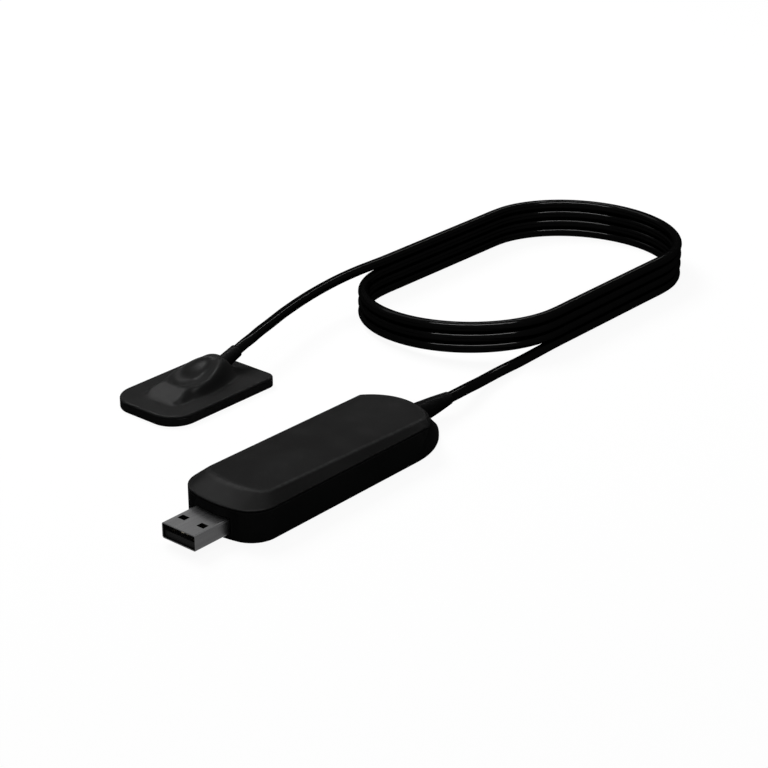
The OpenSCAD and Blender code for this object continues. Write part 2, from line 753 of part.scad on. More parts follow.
// Lid with the rounded edge, the hump with its finger scoop, and the lip that locates it in the tray
module sensor_back_shell() {
    color("#1e1e20") at_sensor() difference() {
        union() {
            hull() {
                translate([0, 0, tray_h + 0.05]) linear_extrude(0.2) sensor_plan();
                translate([0, 0, plate_h - 0.3]) linear_extrude(slab) sensor_plan(0.12);
                translate([0, 0, plate_h - 0.12]) linear_extrude(slab) sensor_plan(0.32);
                translate([0, 0, plate_h - slab]) linear_extrude(slab) sensor_plan(0.65);
            }
            hump();
            translate([0, 0, tray_h - 0.5]) linear_extrude(0.7) difference() {
                sensor_plan(tray_wall + snug);
                sensor_plan(tray_wall + snug + shell_t);
            }
        }
        translate([0, 0, 0]) linear_extrude(roof_z) sensor_plan(tray_wall + snug + shell_t);
        hump(shell_t, 20, 14);
        at_boot() translate([0, 0, -boot_neck - 2]) cylinder(d = boot_d + 2 * snug, h = boot_neck + boot_l, $fn = 48);
    }
}

module sensor_boot() {
    color("#161617") at_sensor() at_boot() rotate_extrude($fn = 48) polygon([
        [cable_r, -boot_neck], [boot_d / 2, -boot_neck], [boot_d / 2, 0],
        [boot_tip_d / 2, boot_l - 0.3], [boot_tip_d / 2 - 0.25, boot_l], [cable_r, boot_l]]);
}

module sensor_cable_end() {
    color("#0c0c0d") at_sensor() at_boot()
        translate([0, 0, -boot_neck - anchor_l]) cylinder(r = cable_r, h = boot_l + boot_neck + anchor_l, $fn = 32);
}

module anchor_ring() {
    color("#b0b0b2") at_sensor() at_boot() translate([0, 0, -boot_neck - anchor_l]) difference() {
        cylinder(r = cable_r + 0.35, h = anchor_l - snug, $fn = 32);
        translate([0, 0, -1]) cylinder(r = cable_r, h = anchor_l + 2, $fn = 32);
    }
}

// Ribbon from the cable's end down through the window to the sensor board
module flex_lead() {
    color("#c07a2a") at_sensor() translate([-3, 0, 0]) rotate([90, 0, 90]) linear_extrude(6) polygon([
        [1, lead_z], [2.6, lead_z], [4.4, 3.9], [6.7, 3.9], [6.7, 4.05], [4.3, 4.05], [2.5, lead_z + 0.15],
        [1, lead_z + 0.15]]);
}

// ---- cable ----

function unit(v) = v / norm(v);
function heading(route, i) = unit(route[min(i + 1, len(route) - 1)] - route[max(i - 1, 0)]);

// One ring of the cable's skin round point i of its route
function ring(route, i, sides = 8) =
    let (f = i == 0 ? unit(route[1] - route[0]) : heading(route, i), x = unit(cross(f, [0, 0, 1])), y = cross(x, f))
    [for (k = [0 : sides - 1]) let (a = 360 * (k + 0.5) / sides) route[i] + cable_r / cos(180 / sides) * (cos(a) * x + sin(a) * y)];

module tube(route, sides = 8) {
    n = len(route);
    points = [for (i = [0 : n - 1]) each ring(route, i, sides)];
    faces = concat(
        [[for (k = [0 : sides - 1]) k]],
        [for (i = [0 : n - 2], k = [0 : sides - 1]) let (a = i * sides, b = (k + 1) % sides)
            [a + k, a + sides + k, a + sides + b, a + b]],
        [[for (k = [sides - 1 : -1 : 0]) (n - 1) * sides + k]]);
    polyhedron(points, faces);
}

module cable_box_stretch() {
    color("#0c0c0d") tube(box_route);
}

module cable_sensor_stretch() {
    color("#0c0c0d") tube(sensor_route);
}

// A point of the coil's centre line seen from above, with the direction that points out of the coil.
// Angle a runs from the right side to the left side round the near end (-1) or the far end (1).
function coil_at(a, end) =
    let (out = unit([cos(a) / coil_r, end * sin(a) / coil_end]))
    [coil_x + coil_r * cos(a), coil_y + end * (coil_straight / 2 + coil_end * sin(a)), out[0], out[1]];

// Stations of the coil's outer shape: where, which way is out, bottom and top. Along the sides and the
// far end the turns lie on each other. Round the near end each turn climbs by one pitch, so there is
// one turn fewer, and the two free ends of the cable leave the coil there, low right and high left.
coil_steps = 24;
coil_top = (turns - 1) * turn_pitch + cable_d;
coil_stations = concat(
    [for (i = [0 : coil_steps]) let (k = i / coil_steps)
        concat(coil_at(180 - 180 * k, -1), [turn_pitch * ease(k), coil_top - turn_pitch * (1 - ease(k))])],
    [concat(coil_at(0, -1) + [0, 0.02, 0, 0], [0, coil_top])],
    [for (i = [0 : coil_steps]) concat(coil_at(180 * i / coil_steps, 1), [0, coil_top])],
    [concat(coil_at(180, -1) + [0, 0.02, 0, 0], [0, coil_top])]);

// Outline of the turns at one station: a tall slot, one cable wide
function coil_section(s, n = 6) = [for (i = [0 : 2 * n + 1])
    let (a = i <= n ? 180 * (1 + i / n) : 180 * (i - n - 1) / n, z = i <= n ? s[4] + cable_r : s[5] - cable_r)
    [s[0] + s[2] * cable_r * cos(a), s[1] + s[3] * cable_r * cos(a), z + cable_r * sin(a)]];

module cable_coil() {
    n = len(coil_stations);
    m = 14;
    color("#0c0c0d") polyhedron(
        [for (s = coil_stations) each coil_section(s)],
        [for (i = [0 : n - 1], k = [0 : m - 1])
            let (a = i * m, b = (i + 1) % n * m, j = (k + 1) % m)
            each [[a + k, b + j, b + k], [a + k, a + j, b + j]]]);
}

box_base();
box_cover();
main_board();
usb_plug_shell();
usb_plug_tongue();
usb_contacts();
usb_bridge_chip();
image_processor();
memory_chip();
clock_crystal();
power_inductor();
board_passives();
shield_can();
cable_header();
cable_connector();
lead_wires();
board_screws();
box_strain_relief();
box_cable_end();
crimp_ring();
sensor_front_cover();
sensor_back_shell();
scintillator();
fibre_plate();
imager_chip();
sensor_board();
lead_shield();
shock_pad();
flex_lead();
sensor_boot();
sensor_cable_end();
anchor_ring();
cable_box_stretch();
cable_coil();
cable_sensor_stretch();
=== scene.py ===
# %% [markdown]
# # A dental X-ray sensor set in black plastic
#
# The object is a slim interface box with a USB plug at its front end, a flat sensor head that a
# dentist places in the mouth, and one long thin cable that joins the two and lies in a neat coil
# behind them. The construction is already solid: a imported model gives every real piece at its
# real size and place. This lesson dresses it. Each step names a piece or a finish, says how it
# could be made, and why this way was taken. All lengths are metres, X is to the right of the box,
# Y runs from the plug to the cable.

# %% Load the solid model and keep its box
import json
import math
import bpy
import bmesh
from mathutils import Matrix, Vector

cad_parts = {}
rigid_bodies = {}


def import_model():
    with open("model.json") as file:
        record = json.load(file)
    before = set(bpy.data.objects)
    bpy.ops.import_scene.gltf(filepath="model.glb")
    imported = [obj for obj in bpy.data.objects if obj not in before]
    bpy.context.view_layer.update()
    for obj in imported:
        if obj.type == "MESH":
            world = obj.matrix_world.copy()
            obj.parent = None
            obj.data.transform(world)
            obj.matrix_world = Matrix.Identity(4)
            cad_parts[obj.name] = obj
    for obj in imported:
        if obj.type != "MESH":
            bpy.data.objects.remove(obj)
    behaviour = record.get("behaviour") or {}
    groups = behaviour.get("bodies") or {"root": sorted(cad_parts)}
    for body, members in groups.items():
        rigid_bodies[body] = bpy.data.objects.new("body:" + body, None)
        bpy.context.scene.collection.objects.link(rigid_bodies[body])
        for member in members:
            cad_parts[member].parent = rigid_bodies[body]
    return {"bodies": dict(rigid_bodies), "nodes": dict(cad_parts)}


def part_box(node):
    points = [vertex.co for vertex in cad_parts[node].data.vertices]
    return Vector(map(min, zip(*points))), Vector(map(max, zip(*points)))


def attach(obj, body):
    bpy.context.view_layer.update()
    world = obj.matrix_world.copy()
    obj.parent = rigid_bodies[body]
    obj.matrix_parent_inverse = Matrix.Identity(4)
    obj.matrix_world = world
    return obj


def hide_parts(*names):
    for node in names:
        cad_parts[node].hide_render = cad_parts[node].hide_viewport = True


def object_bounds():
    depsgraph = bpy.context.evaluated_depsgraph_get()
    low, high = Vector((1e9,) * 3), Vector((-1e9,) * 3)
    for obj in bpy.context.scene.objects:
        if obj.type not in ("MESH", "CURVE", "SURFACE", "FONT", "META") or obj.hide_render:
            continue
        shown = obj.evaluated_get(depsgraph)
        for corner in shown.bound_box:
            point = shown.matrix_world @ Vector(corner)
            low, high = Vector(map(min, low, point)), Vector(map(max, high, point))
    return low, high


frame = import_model()
MM = 0.001
CAD_BOX = [list(corner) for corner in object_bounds()]
BODY = next(iter(frame["bodies"]))
print("body:", BODY, " nodes:", len(frame["nodes"]))
print("box:", [[round(v, 4) for v in corner] for corner in CAD_BOX])

# %% [markdown]
# ## The camera
#
# A product view like this one is taken with a long lens from well above the table, so the sides
# of the box stay nearly parallel. The camera looks down by about 24 degrees and across the box
# from its front right corner. Its height and distance decide how much the near end grows against
# the far end, so they are set first, before any shape is judged.

# %% Camera
FILM_WIDTH, FOCAL_LENGTH = 36, 95.16
CAMERA_PLACE, CAMERA_TURN = (0.33058, -0.3635, 0.249), (65.7, 0, 40.45)

lens = bpy.data.cameras.new("long_lens")
lens.sensor_width, lens.lens = FILM_WIDTH, FOCAL_LENGTH
camera = bpy.data.objects.new("camera", lens)
camera.location = CAMERA_PLACE
camera.rotation_euler = [math.radians(angle) for angle in CAMERA_TURN]
bpy.context.scene.collection.objects.link(camera)
bpy.context.scene.camera = camera
print("camera looks down by", round(90 - CAMERA_TURN[0], 1), "degrees")

# %% [markdown]
# ## Small helpers for meshes
#
# Most pieces of this object are moulded shells: one closed outline that changes on its way up. A
# list of rings with the same number of points, joined by quads, describes them all. `tube` turns
# such rings into points and faces, and `new_piece` turns these into an object at the origin,
# which keeps every later cell short.

# %% Mesh helpers
def new_piece(name, points, faces, smooth=True, edges=()):
    mesh = bpy.data.meshes.new(name)
    mesh.from_pydata([tuple(p) for p in points], edges, faces)
    mesh.validate()
    for polygon in mesh.polygons:
        polygon.use_smooth = smooth
    piece = bpy.data.objects.new(name, mesh)
    bpy.context.scene.collection.objects.link(piece)
    return piece


def band(low, high):
    """Quads between two closed rings of point numbers. They face outwards if both turn left."""
    count = len(low)
    return [(low[k], low[(k + 1) % count], high[(k + 1) % count], high[k]) for k in range(count)]


def tube(rings, ends="capped"):
    """Points and faces of rings that follow each other. Its ends are capped, open or joined."""
    count = len(rings[0])
    numbers = [range(r * count, (r + 1) * count) for r in range(len(rings))]
    turns = numbers + [numbers[0]] if ends == "joined" else numbers
    faces = [face for low, high in zip(turns, turns[1:]) for face in band(low, high)]
    if ends == "capped":
        faces += [tuple(reversed(numbers[0])), tuple(numbers[-1])]
    return [p for ring in rings for p in ring], faces


def grid_faces(rows, wide):
    """Quads of a sheet of rows that have this many points each."""
    return [(k * wide + j, k * wide + j + 1, (k + 1) * wide + j + 1, (k + 1) * wide + j)
            for k in range(rows - 1) for j in range(wide - 1)]


def joined(parts):
    """One list of points and one of faces for several shapes."""
    points, faces = [], []
    for more_points, more_faces in parts:
        start = len(points)
        points += list(more_points)
        faces += [tuple(start + v for v in face) for face in more_faces]
    return points, faces


print("shape helpers ready")

# %% Helpers that finish a mesh
def face_outwards(piece, merge=0.0001 * MM, drop_slivers=False):
    """Merges points that lie on each other and turns every face outwards."""
    shape = bmesh.new()
    shape.from_mesh(piece.data)
    bmesh.ops.remove_doubles(shape, verts=shape.verts, dist=merge)
    if drop_slivers:
        bmesh.ops.dissolve_degenerate(shape, edges=shape.edges, dist=merge)
    bmesh.ops.recalc_face_normals(shape, faces=shape.faces)
    shape.to_mesh(piece.data)
    shape.free()


def crisp(piece, degrees=32):
    """Smooth shading that stays crisp over edges sharper than this."""
    for polygon in piece.data.polygons:
        polygon.use_smooth = True
    piece.data.set_sharp_from_angle(angle=math.radians(degrees))


def moulded(name, shape, degrees=32):
    """A piece from points and faces, with its faces outwards and its edges crisp."""
    piece = new_piece(name, *shape)
    face_outwards(piece)
    crisp(piece, degrees)
    return piece


def apply_modifiers(piece):
    graph = bpy.context.evaluated_depsgraph_get()
    mesh = bpy.data.meshes.new_from_object(piece.evaluated_get(graph), depsgraph=graph)
    piece.modifiers.clear()
    old, piece.data = piece.data, mesh
    mesh.name = piece.name
    bpy.data.meshes.remove(old)


def ease(s):
    """A step from 0 to 1 with a soft start and end."""
    return s * s * (3 - 2 * s)


def bezier(a, b, c, t):
    """A point on the short curve that rounds the corner b between a and c."""
    return (1 - t) ** 2 * a + 2 * t * (1 - t) * b + t * t * c


print("mesh helpers ready")

# %% [markdown]
# ## Small helpers for nodes
#
# Every finish and every Geometry Nodes tree is built from the same few moves: make a node, set it
# up, and give each of its inputs a number or a link. `add` does all of this in one line.

# %% Node helpers
def add(tree, kind, inputs=None, **settings):
    """A new node. Its inputs go by name or number, and each is a value or a socket to link."""
    made = tree.nodes.new(kind)
    for key, value in settings.items():
        setattr(made, key, value)
    for label, value in (inputs or {}).items():
        if isinstance(value, bpy.types.NodeSocket):
            tree.links.new(value, made.inputs[label])
        else:
            made.inputs[label].default_value = value
    return made


def math_node(tree, operation, a, b=None, clamp=False):
    values = {0: a} if b is None else {0: a, 1: b}
    return add(tree, "ShaderNodeMath", values, operation=operation, use_clamp=clamp).outputs[0]


def fresh_tree(owner):
    """The empty node tree of a material or a world."""
    owner.use_nodes = True
    owner.node_tree.nodes.clear()
    return owner.node_tree


def white_rays(tree):
    """1 for the rays that see the studio as white: the camera's, and those of gloss and glass."""
    rays = add(tree, "ShaderNodeLightPath").outputs
    either = math_node(tree, "MAXIMUM", rays["Is Camera Ray"], rays["Is Glossy Ray"])
    return math_node(tree, "MAXIMUM", either, rays["Is Transmission Ray"])


print("node helpers ready")

# %% [markdown]
# ## The stage and the light
#
# The set stands on a plain white table in front of a plain white wall. Both are one seamless
# sheet, so no horizon shows. White is reached by a glow that only the camera, mirror-like rays
# and rays through glass see. Matte rays see a dim sheet, otherwise its bounce would flood the
# black side walls and the box would look grey. The table keeps a faint shadow, which tells the
# eye that the set lies on it.

# %% Table and backdrop
FLOOR_HALF, FLOOR_GLOW, FLOOR_PAPER = 3.0, 0.93, (0.1, 0.1, 0.1, 1)
WHITE = (1, 1, 1, 1)


def white_sheet():
    sheet = bpy.data.materials.new("white_sheet")
    tree = fresh_tree(sheet)
    strength = math_node(tree, "MULTIPLY", white_rays(tree), FLOOR_GLOW)
    glow = add(tree, "ShaderNodeEmission", {"Color": WHITE, "Strength": strength})
    paper = add(tree, "ShaderNodeBsdfDiffuse", {"Color": FLOOR_PAPER})
    both = add(tree, "ShaderNodeAddShader", {0: glow.outputs[0], 1: paper.outputs[0]})
    add(tree, "ShaderNodeOutputMaterial", {"Surface": both.outputs[0]})
    return sheet


corners = [(x * FLOOR_HALF, y * FLOOR_HALF, 0) for x, y in ((-1, -1), (1, -1), (1, 1), (-1, 1))]
floor = new_piece("floor", corners, [(0, 1, 2, 3)])
floor.data.materials.append(white_sheet())
print("floor:", 2 * FLOOR_HALF, "m square")

# %% [markdown]
# The world behind the sheet is white for the camera and for mirror-like rays, and a dim even grey
# for everything else. Two large area lamps do the lighting. The key hangs high on the left, so
# the deck of the box is lit, its right side falls into black, and the sensor's front slope
# mirrors the lamp. A wide soft panel overhead keeps the shadows open. The other lamps show in
# glossy reflections only: they don't change how light a colour looks, and they draw a fine line
# of light along every turn of the cable. Near the end they are linked to the black pieces alone,
# because bare metal would turn white in them.

# %% World and lamps
WORLD_FILL = 0.03
KEY_PLACE, TOP_PLACE = (-0.57, 0.1, 0.68), (0.0, 0.1, 0.9)
# Each row: name, place from the middle of the set, width and height in metres, power in watts
PANELS = [("key_panel", KEY_PLACE, 0.4, 0.4, 5.2),
          ("top_panel", TOP_PLACE, 0.8, 0.8, 2.6)]
SHEENS = [("key_sheen", KEY_PLACE, 0.4, 0.4, 28.0),
          ("front_strip", (0.18, -0.28, 0.83), 1.1, 0.12, 40.0),
          ("high_strip", (-0.27, 0.31, 0.8), 0.5, 0.06, 9.0),
          ("rear_strip", (-0.13, 0.62, 0.66), 0.06, 0.5, 9.0)]


def white_world(fill):
    """White for the white rays, and a dim even grey for all others."""
    world = bpy.data.worlds.new("studio")
    tree = fresh_tree(world)
    dim, white = [add(tree, "ShaderNodeBackground", {"Color": WHITE, "Strength": strength})
                  for strength in (fill, 1.0)]
    mix = add(tree, "ShaderNodeMixShader", {0: white_rays(tree), 1: dim.outputs[0],
                                            2: white.outputs[0]})
    add(tree, "ShaderNodeOutputWorld", {"Surface": mix.outputs[0]})
    return world


def panel_lamp(name, offset, width, height, power):
    """A rectangle of light that looks at the middle of the set."""
    light = bpy.data.lights.new(name, "AREA")
    light.shape = "RECTANGLE"
    light.size, light.size_y = width, height
    light.energy = power
    lamp = bpy.data.objects.new(name, light)
    lamp.location = MIDDLE + Vector(offset)
    way = MIDDLE - (MIDDLE + Vector(offset))
    lamp.rotation_euler = way.to_track_quat("-Z", "Y").to_euler()
    bpy.context.scene.collection.objects.link(lamp)
    return lamp


bpy.context.scene.world = white_world(WORLD_FILL)
MIDDLE = Vector([(low + high) / 2 for low, high in zip(*CAD_BOX)])
for row in PANELS:
    panel_lamp(*row)
sheen_lamps = [panel_lamp(*row) for row in SHEENS]
for lamp in sheen_lamps:
    lamp.visible_diffuse = False
bpy.context.scene.view_settings.view_transform = "Standard"

# %% [markdown]
# ## Shared effects for the finishes
#
# Several materials need the same few effects: the fine grain of a spark-eroded mould, a lighter
# line along an edge, which is wear on turned metal rings and a painted highlight on the black
# mouldings, a little dust on what faces up, and the drawn lines of sheet metal and extruded
# plastic. Each effect is a shader node group, built once and placed in every material with values
# of its own. A group here puts out only masks and heights. The shader itself stays in the material.

# %% Group helpers
def node_group(name, kind, inputs, outputs):
    """An empty node group and its inputs. A socket is given as (name, kind) or with a default."""
    group = bpy.data.node_groups.new(name, kind)
    for side, sockets in (("INPUT", inputs), ("OUTPUT", outputs)):
        for label, socket_kind, *default in sockets:
            socket = group.interface.new_socket(name=label, in_out=side,
                                                socket_type="NodeSocket" + socket_kind)
            if default:
                socket.default_value = default[0]
    return group, add(group, "NodeGroupInput").outputs


def new_effect(name, outputs, **values):
    """A shader node group: a vector and named values go in, masks and heights come out."""
    inputs = [("Vector", "Vector")] + [(label, "Float", value) for label, value in values.items()]
    group, given = node_group(name, "ShaderNodeTree", inputs, [(o, "Float") for o in outputs])
    return group, given, given["Vector"]


def remap(tree, value, low, high, to_low=0.0, to_high=1.0):
    """Takes low to to_low and high to to_high, with a soft start and end between them."""
    ends = {"From Min": low, "From Max": high, "To Min": to_low, "To Max": to_high}
    return add(tree, "ShaderNodeMapRange", {"Value": value, **ends},
               interpolation_type="SMOOTHSTEP").outputs[0]


def noise(tree, vector, scale, detail=3.0, roughness=0.55):
    return add(tree, "ShaderNodeTexNoise", {"Vector": vector, "Scale": scale, "Detail": detail,
                                            "Roughness": roughness}).outputs["Fac"]


print("group helpers ready")

# %% Geometry Nodes helpers
def new_tree(name, *inputs):
    """A Geometry Nodes tree that takes a geometry, these inputs and a finish."""
    geometry = ("Geometry", "Geometry")
    return node_group(name, "GeometryNodeTree", [geometry, *inputs, ("Finish", "Material")],
                      [geometry])


def end_tree(tree, geometry, given):
    """Every tree ends the same way: real mesh, then the finish."""
    real = add(tree, "GeometryNodeRealizeInstances", {"Geometry": geometry})
    painted = add(tree, "GeometryNodeSetMaterial", {"Geometry": real.outputs["Geometry"],
                                                    "Material": given["Finish"]})
    add(tree, "NodeGroupOutput", {"Geometry": painted.outputs["Geometry"]})


def grow(piece, tree, **values):
    """Runs a tree on a piece with these inputs and keeps the mesh that comes out."""
    step = piece.modifiers.new(tree.name, "NODES")
    step.node_group = tree
    for item in tree.interface.items_tree:
        if item.item_type == "SOCKET" and item.in_out == "INPUT" and item.name in values:
            step[item.identifier] = values[item.name]
    apply_modifiers(piece)


print("tree helpers ready")

# %% Group: moulded grain
CLOUD_SCALE, CELL_ROUND, DOME_HEIGHT = 55.0, 0.6, 0.7


def make_moulded_grain():
    """Rounded cells with a finer noise on them, and slow clouds over the whole surface."""
    group, given, vector = new_effect("moulded_grain", ["Height", "Cloud"], Scale=6000.0)
    cells = add(group, "ShaderNodeTexVoronoi",
                {"Vector": vector, "Scale": given["Scale"], "Smoothness": CELL_ROUND},
                feature="SMOOTH_F1")
    domes = math_node(group, "MULTIPLY", cells.outputs["Distance"], DOME_HEIGHT)
    fine = noise(group, vector, given["Scale"], detail=2.0)
    clouds = noise(group, vector, CLOUD_SCALE, detail=2.0)
    add(group, "NodeGroupOutput", {"Height": math_node(group, "ADD", domes, fine),
                                   "Cloud": remap(group, clouds, 0.32, 0.68)})
    return group


moulded_grain = make_moulded_grain()
print("moulded grain:", len(moulded_grain.nodes), "nodes")

# %% Group: edge wear and painted edge highlight
EDGE_BREAKUP_SCALE, LEAST_EDGE_MARK = 700.0, 0.35


def make_edge_wear_and_highlight():
    """A mask of convex edges from how pointed the mesh is, broken by noise; wear on metal, painted
    highlight on black plastic.
    """
    group, given, vector = new_effect("worn_edges", ["Mask"], Start=0.52, End=0.6)
    pointed = add(group, "ShaderNodeNewGeometry").outputs["Pointiness"]
    edge = remap(group, pointed, given["Start"], given["End"])
    chips = noise(group, vector, EDGE_BREAKUP_SCALE, detail=4.0)
    broken = remap(group, chips, 0.35, 0.7, to_low=LEAST_EDGE_MARK)
    add(group, "NodeGroupOutput", {"Mask": math_node(group, "MULTIPLY", edge, broken, clamp=True)})
    return group


worn_edges = make_edge_wear_and_highlight()
print("worn edges:", len(worn_edges.nodes), "nodes")

# %% Group: settled dust
SPECK_SCALE, VEIL_SCALE, VEIL_SHARE = 2600.0, 120.0, 0.35


def make_settled_dust():
    """Specks and a thin veil on what faces up."""
    group, given, vector = new_effect("settled_dust", ["Mask"], Amount=0.5)
    normal = add(group, "ShaderNodeNewGeometry").outputs["Normal"]
    upward = remap(group, add(group, "ShaderNodeSeparateXYZ", {0: normal}).outputs["Z"], 0.35, 0.95)
    specks = remap(group, noise(group, vector, SPECK_SCALE, detail=1.0), 0.71, 0.76)
    veil = remap(group, noise(group, vector, VEIL_SCALE, detail=5.0), 0.45, 0.8, to_high=VEIL_SHARE)
    dusty = math_node(group, "MULTIPLY", math_node(group, "MAXIMUM", specks, veil), upward)
    add(group, "NodeGroupOutput", {"Mask": math_node(group, "MULTIPLY", dusty, given["Amount"])})
    return group


settled_dust = make_settled_dust()
print("settled dust:", len(settled_dust.nodes), "nodes")

# %% Group: drawn lines
STREAK_WIDTH = 0.12  # how much slower the streaks change than the lines


def make_drawn_lines():
    """Fine lines along the third axis of the vector it is given, and wider streaks of them."""
    group, given, vector = new_effect("drawn_lines", ["Height", "Streak"],
                                      Across=9000.0, Along=90.0)
    stretch = add(group, "ShaderNodeCombineXYZ", {"X": given["Across"], "Y": given["Across"],
                                                  "Z": given["Along"]})
    scaled = add(group, "ShaderNodeVectorMath", {0: vector, 1: stretch.outputs[0]},
                 operation="MULTIPLY").outputs[0]
    wide = add(group, "ShaderNodeVectorMath", {0: scaled, "Scale": STREAK_WIDTH}, operation="SCALE")
    streaks = noise(group, wide.outputs[0], 1.0, detail=2.0)
    add(group, "NodeGroupOutput", {"Height": noise(group, scaled, 1.0, roughness=0.7),
                                   "Streak": remap(group, streaks, 0.3, 0.7)})
    return group


drawn_lines = make_drawn_lines()
print("drawn lines:", len(drawn_lines.nodes), "nodes")

# %% [markdown]
# ## The materials
#
# One class starts every material. It sets what is the same all over the surface on the shader's
# own sockets, so that the material's own cell only adds what varies: colour between two close
# tones, roughness between two values, and a height for the bump.

# %% Material helpers
class Finish:
    """One material under construction: a Principled shader and the place its patterns read."""

    def __init__(self, name, metallic=0.0, specular=0.5, coat=0.0, coat_roughness=0.1,
                 attribute=None):
        self.material = bpy.data.materials.new(name)
        self.tree = fresh_tree(self.material)
        self.shader = add(self.tree, "ShaderNodeBsdfPrincipled",
                          {"Metallic": metallic, "Specular IOR Level": specular,
                           "Coat Weight": coat, "Coat Roughness": coat_roughness})
        add(self.tree, "ShaderNodeOutputMaterial", {"Surface": self.shader.outputs[0]})
        if attribute:
            stored = add(self.tree, "ShaderNodeAttribute", attribute_name=attribute)
            self.place = stored.outputs["Vector"]
        else:
            self.place = add(self.tree, "ShaderNodeTexCoord").outputs["Object"]

    def feed(self, label, socket):
        self.tree.links.new(socket, self.shader.inputs[label])

    def lines_along_y(self):
        """Turns the pattern, so that what runs along its third axis runs along Y."""
        turn = {"Vector": self.place, "Rotation": (math.radians(90), 0, 0)}
        self.place = add(self.tree, "ShaderNodeMapping", turn).outputs["Vector"]

    def group(self, group, **values):
        return add(self.tree, "ShaderNodeGroup", {"Vector": self.place, **values},
                   node_tree=group).outputs

    def mix(self, a, b, mask):
        a, b = [(*tone, 1) if isinstance(tone, tuple) else tone for tone in (a, b)]
        return add(self.tree, "ShaderNodeMix", {"Factor": mask, 6: a, 7: b},
                   data_type="RGBA").outputs[2]

    def colour(self, dark, light, mask, *layers):
        """Base colour between two tones by a mask, then layers of (mask, tone) laid over it."""
        last = self.mix(dark, light, mask)
        for layer_mask, tone in layers:
            last = self.mix(last, tone, layer_mask)
        self.feed("Base Color", last)

    def roughness(self, mask, low, high):
        self.feed("Roughness", remap(self.tree, mask, 0.0, 1.0, low, high))

    def gloss(self, weight):
        """A clear gloss, strongest where the surface faces the eye, so that edges stay dark."""
        away = add(self.tree, "ShaderNodeLayerWeight").outputs["Facing"]
        facing = math_node(self.tree, "SUBTRACT", 1.0, away)
        squared = math_node(self.tree, "POWER", facing, 2.0)
        self.feed("Coat Weight", math_node(self.tree, "MULTIPLY", squared, weight))

    def bump(self, height, distance):
        made = add(self.tree, "ShaderNodeBump", {"Strength": 1.0, "Distance": distance,
                                                 "Height": height})
        self.feed("Normal", made.outputs[0])


def wear(piece, finish):
    """Give a piece one material in every slot."""
    if not piece.material_slots:
        piece.data.materials.append(finish.material)
    for material_slot in piece.material_slots:
        material_slot.material = finish.material


def dress(finish, *names):
    """Puts a finish on solid nodes that stay as they are."""
    for name in names:
        wear(bpy.data.objects[name], finish)


def grey(value, blue=1.0):
    return (value, value, value * blue)


print("material helpers ready")

# %% [markdown]
# ### Plastics of the box and the sensor
#
# The box is a matte black moulding. Its mould was spark-eroded, which leaves a grain of about a
# tenth of a millimetre: too fine to see from afar, but it is what spreads the light so evenly
# over the deck. The sensor is meant to be wiped clean, so its mould was polished much finer and
# it shines a little.

# %% Box plastic and sensor plastic
DUST = grey(0.2)


def make_black_finish(name, grain_scale, dark, light, edge_highlight_tone, edge_highlight_from, rough, gloss,
                      coat_roughness, bump, dust=None):
    """Grained black plastic or rubber with painted edge highlights, some dust and a gloss that
    faces the eye.
    """
    f = Finish(name, specular=0.0, coat_roughness=coat_roughness)
    grain = f.group(moulded_grain, Scale=grain_scale)
    # The lighter tone on sharp edges is a painted highlight: it stands in for light caught by
    # creases and crests.
    layers = [(f.group(worn_edges, Start=edge_highlight_from[0], End=edge_highlight_from[1])["Mask"], edge_highlight_tone)]
    if dust:
        layers.append((f.group(settled_dust, Amount=dust)["Mask"], DUST))
    f.colour(dark, light, grain["Cloud"], *layers)
    f.roughness(grain["Cloud"], *rough)
    f.gloss(gloss)
    f.bump(grain["Height"], bump * MM)
    return f


# The lighter tone along the creases of the box and the crests of the sensor is a painted highlight.
box_plastic = make_black_finish(
    "box_plastic", 7000.0, grey(0.019), grey(0.0235), grey(0.036), edge_highlight_from=(0.502, 0.512),
    rough=(0.55, 0.66), gloss=0.02, coat_roughness=0.32, bump=0.012, dust=0.05)
sensor_plastic = make_black_finish(
    "sensor_plastic", 12000.0, grey(0.024), grey(0.03), grey(0.036), edge_highlight_from=(0.508, 0.53),
    rough=(0.36, 0.44), gloss=0.028, coat_roughness=0.24, bump=0.003, dust=0.04)
print("plastics:", box_plastic.material.name, sensor_plastic.material.name)

# %% [markdown]
# ### Cable jacket and boot rubber
#
# The jacket is extruded, so it carries fine lines along its length and a slow change of gloss
# from the die. It reads the vector that the cable's mesh stores, whose third value runs along the
# cable. The short cable ends inside the boots have no such vector and use the object's own
# coordinates. The boots are a softer, duller rubber with a slightly bluish bloom in their
# hollows.

# %% Jacket and rubber
def make_cable_jacket(name, attribute=None):
    f = Finish(name, specular=0.0, coat_roughness=0.1, attribute=attribute)
    if attribute:
        lines = f.group(drawn_lines, Across=9.0, Along=0.03)
    else:
        f.lines_along_y()
        lines = f.group(drawn_lines, Across=6000.0, Along=20.0)
    f.colour(grey(0.0012), grey(0.0025), lines["Streak"])
    f.roughness(lines["Streak"], 0.36, 0.46)
    f.gloss(0.06)
    f.bump(lines["Height"], 0.01 * MM)
    return f


cable_jacket = make_cable_jacket("cable_jacket", "jacket")
dress(make_cable_jacket("cable_jacket_cut_ends"), "box_cable_end", "sensor_cable_end")
# The boot's lighter edges use the same painted edge highlight.
boot_rubber = make_black_finish(
    "boot_rubber", 9000.0, grey(0.008, 1.04), grey(0.012), grey(0.02), edge_highlight_from=(0.505, 0.53),
    rough=(0.55, 0.7), gloss=0.015, coat_roughness=0.3, bump=0.01)
print("jacket and rubber:", cable_jacket.material.name, boot_rubber.material.name)

# %% [markdown]
# ### The plug
#
# The plug's shell is folded from nickel-plated steel sheet that was rolled along its length.
# Rolled sheet shows faint lines and a satin gloss. The lines have to run along Y here, so the
# pattern is turned before it is stretched. Turned rings get brighter worn edges as well. A flat
# sheet doesn't, because it has too few points for a mask that reads how pointed the mesh is.
# Inside the shell sits a black tongue of glass-filled plastic with four plated contacts.

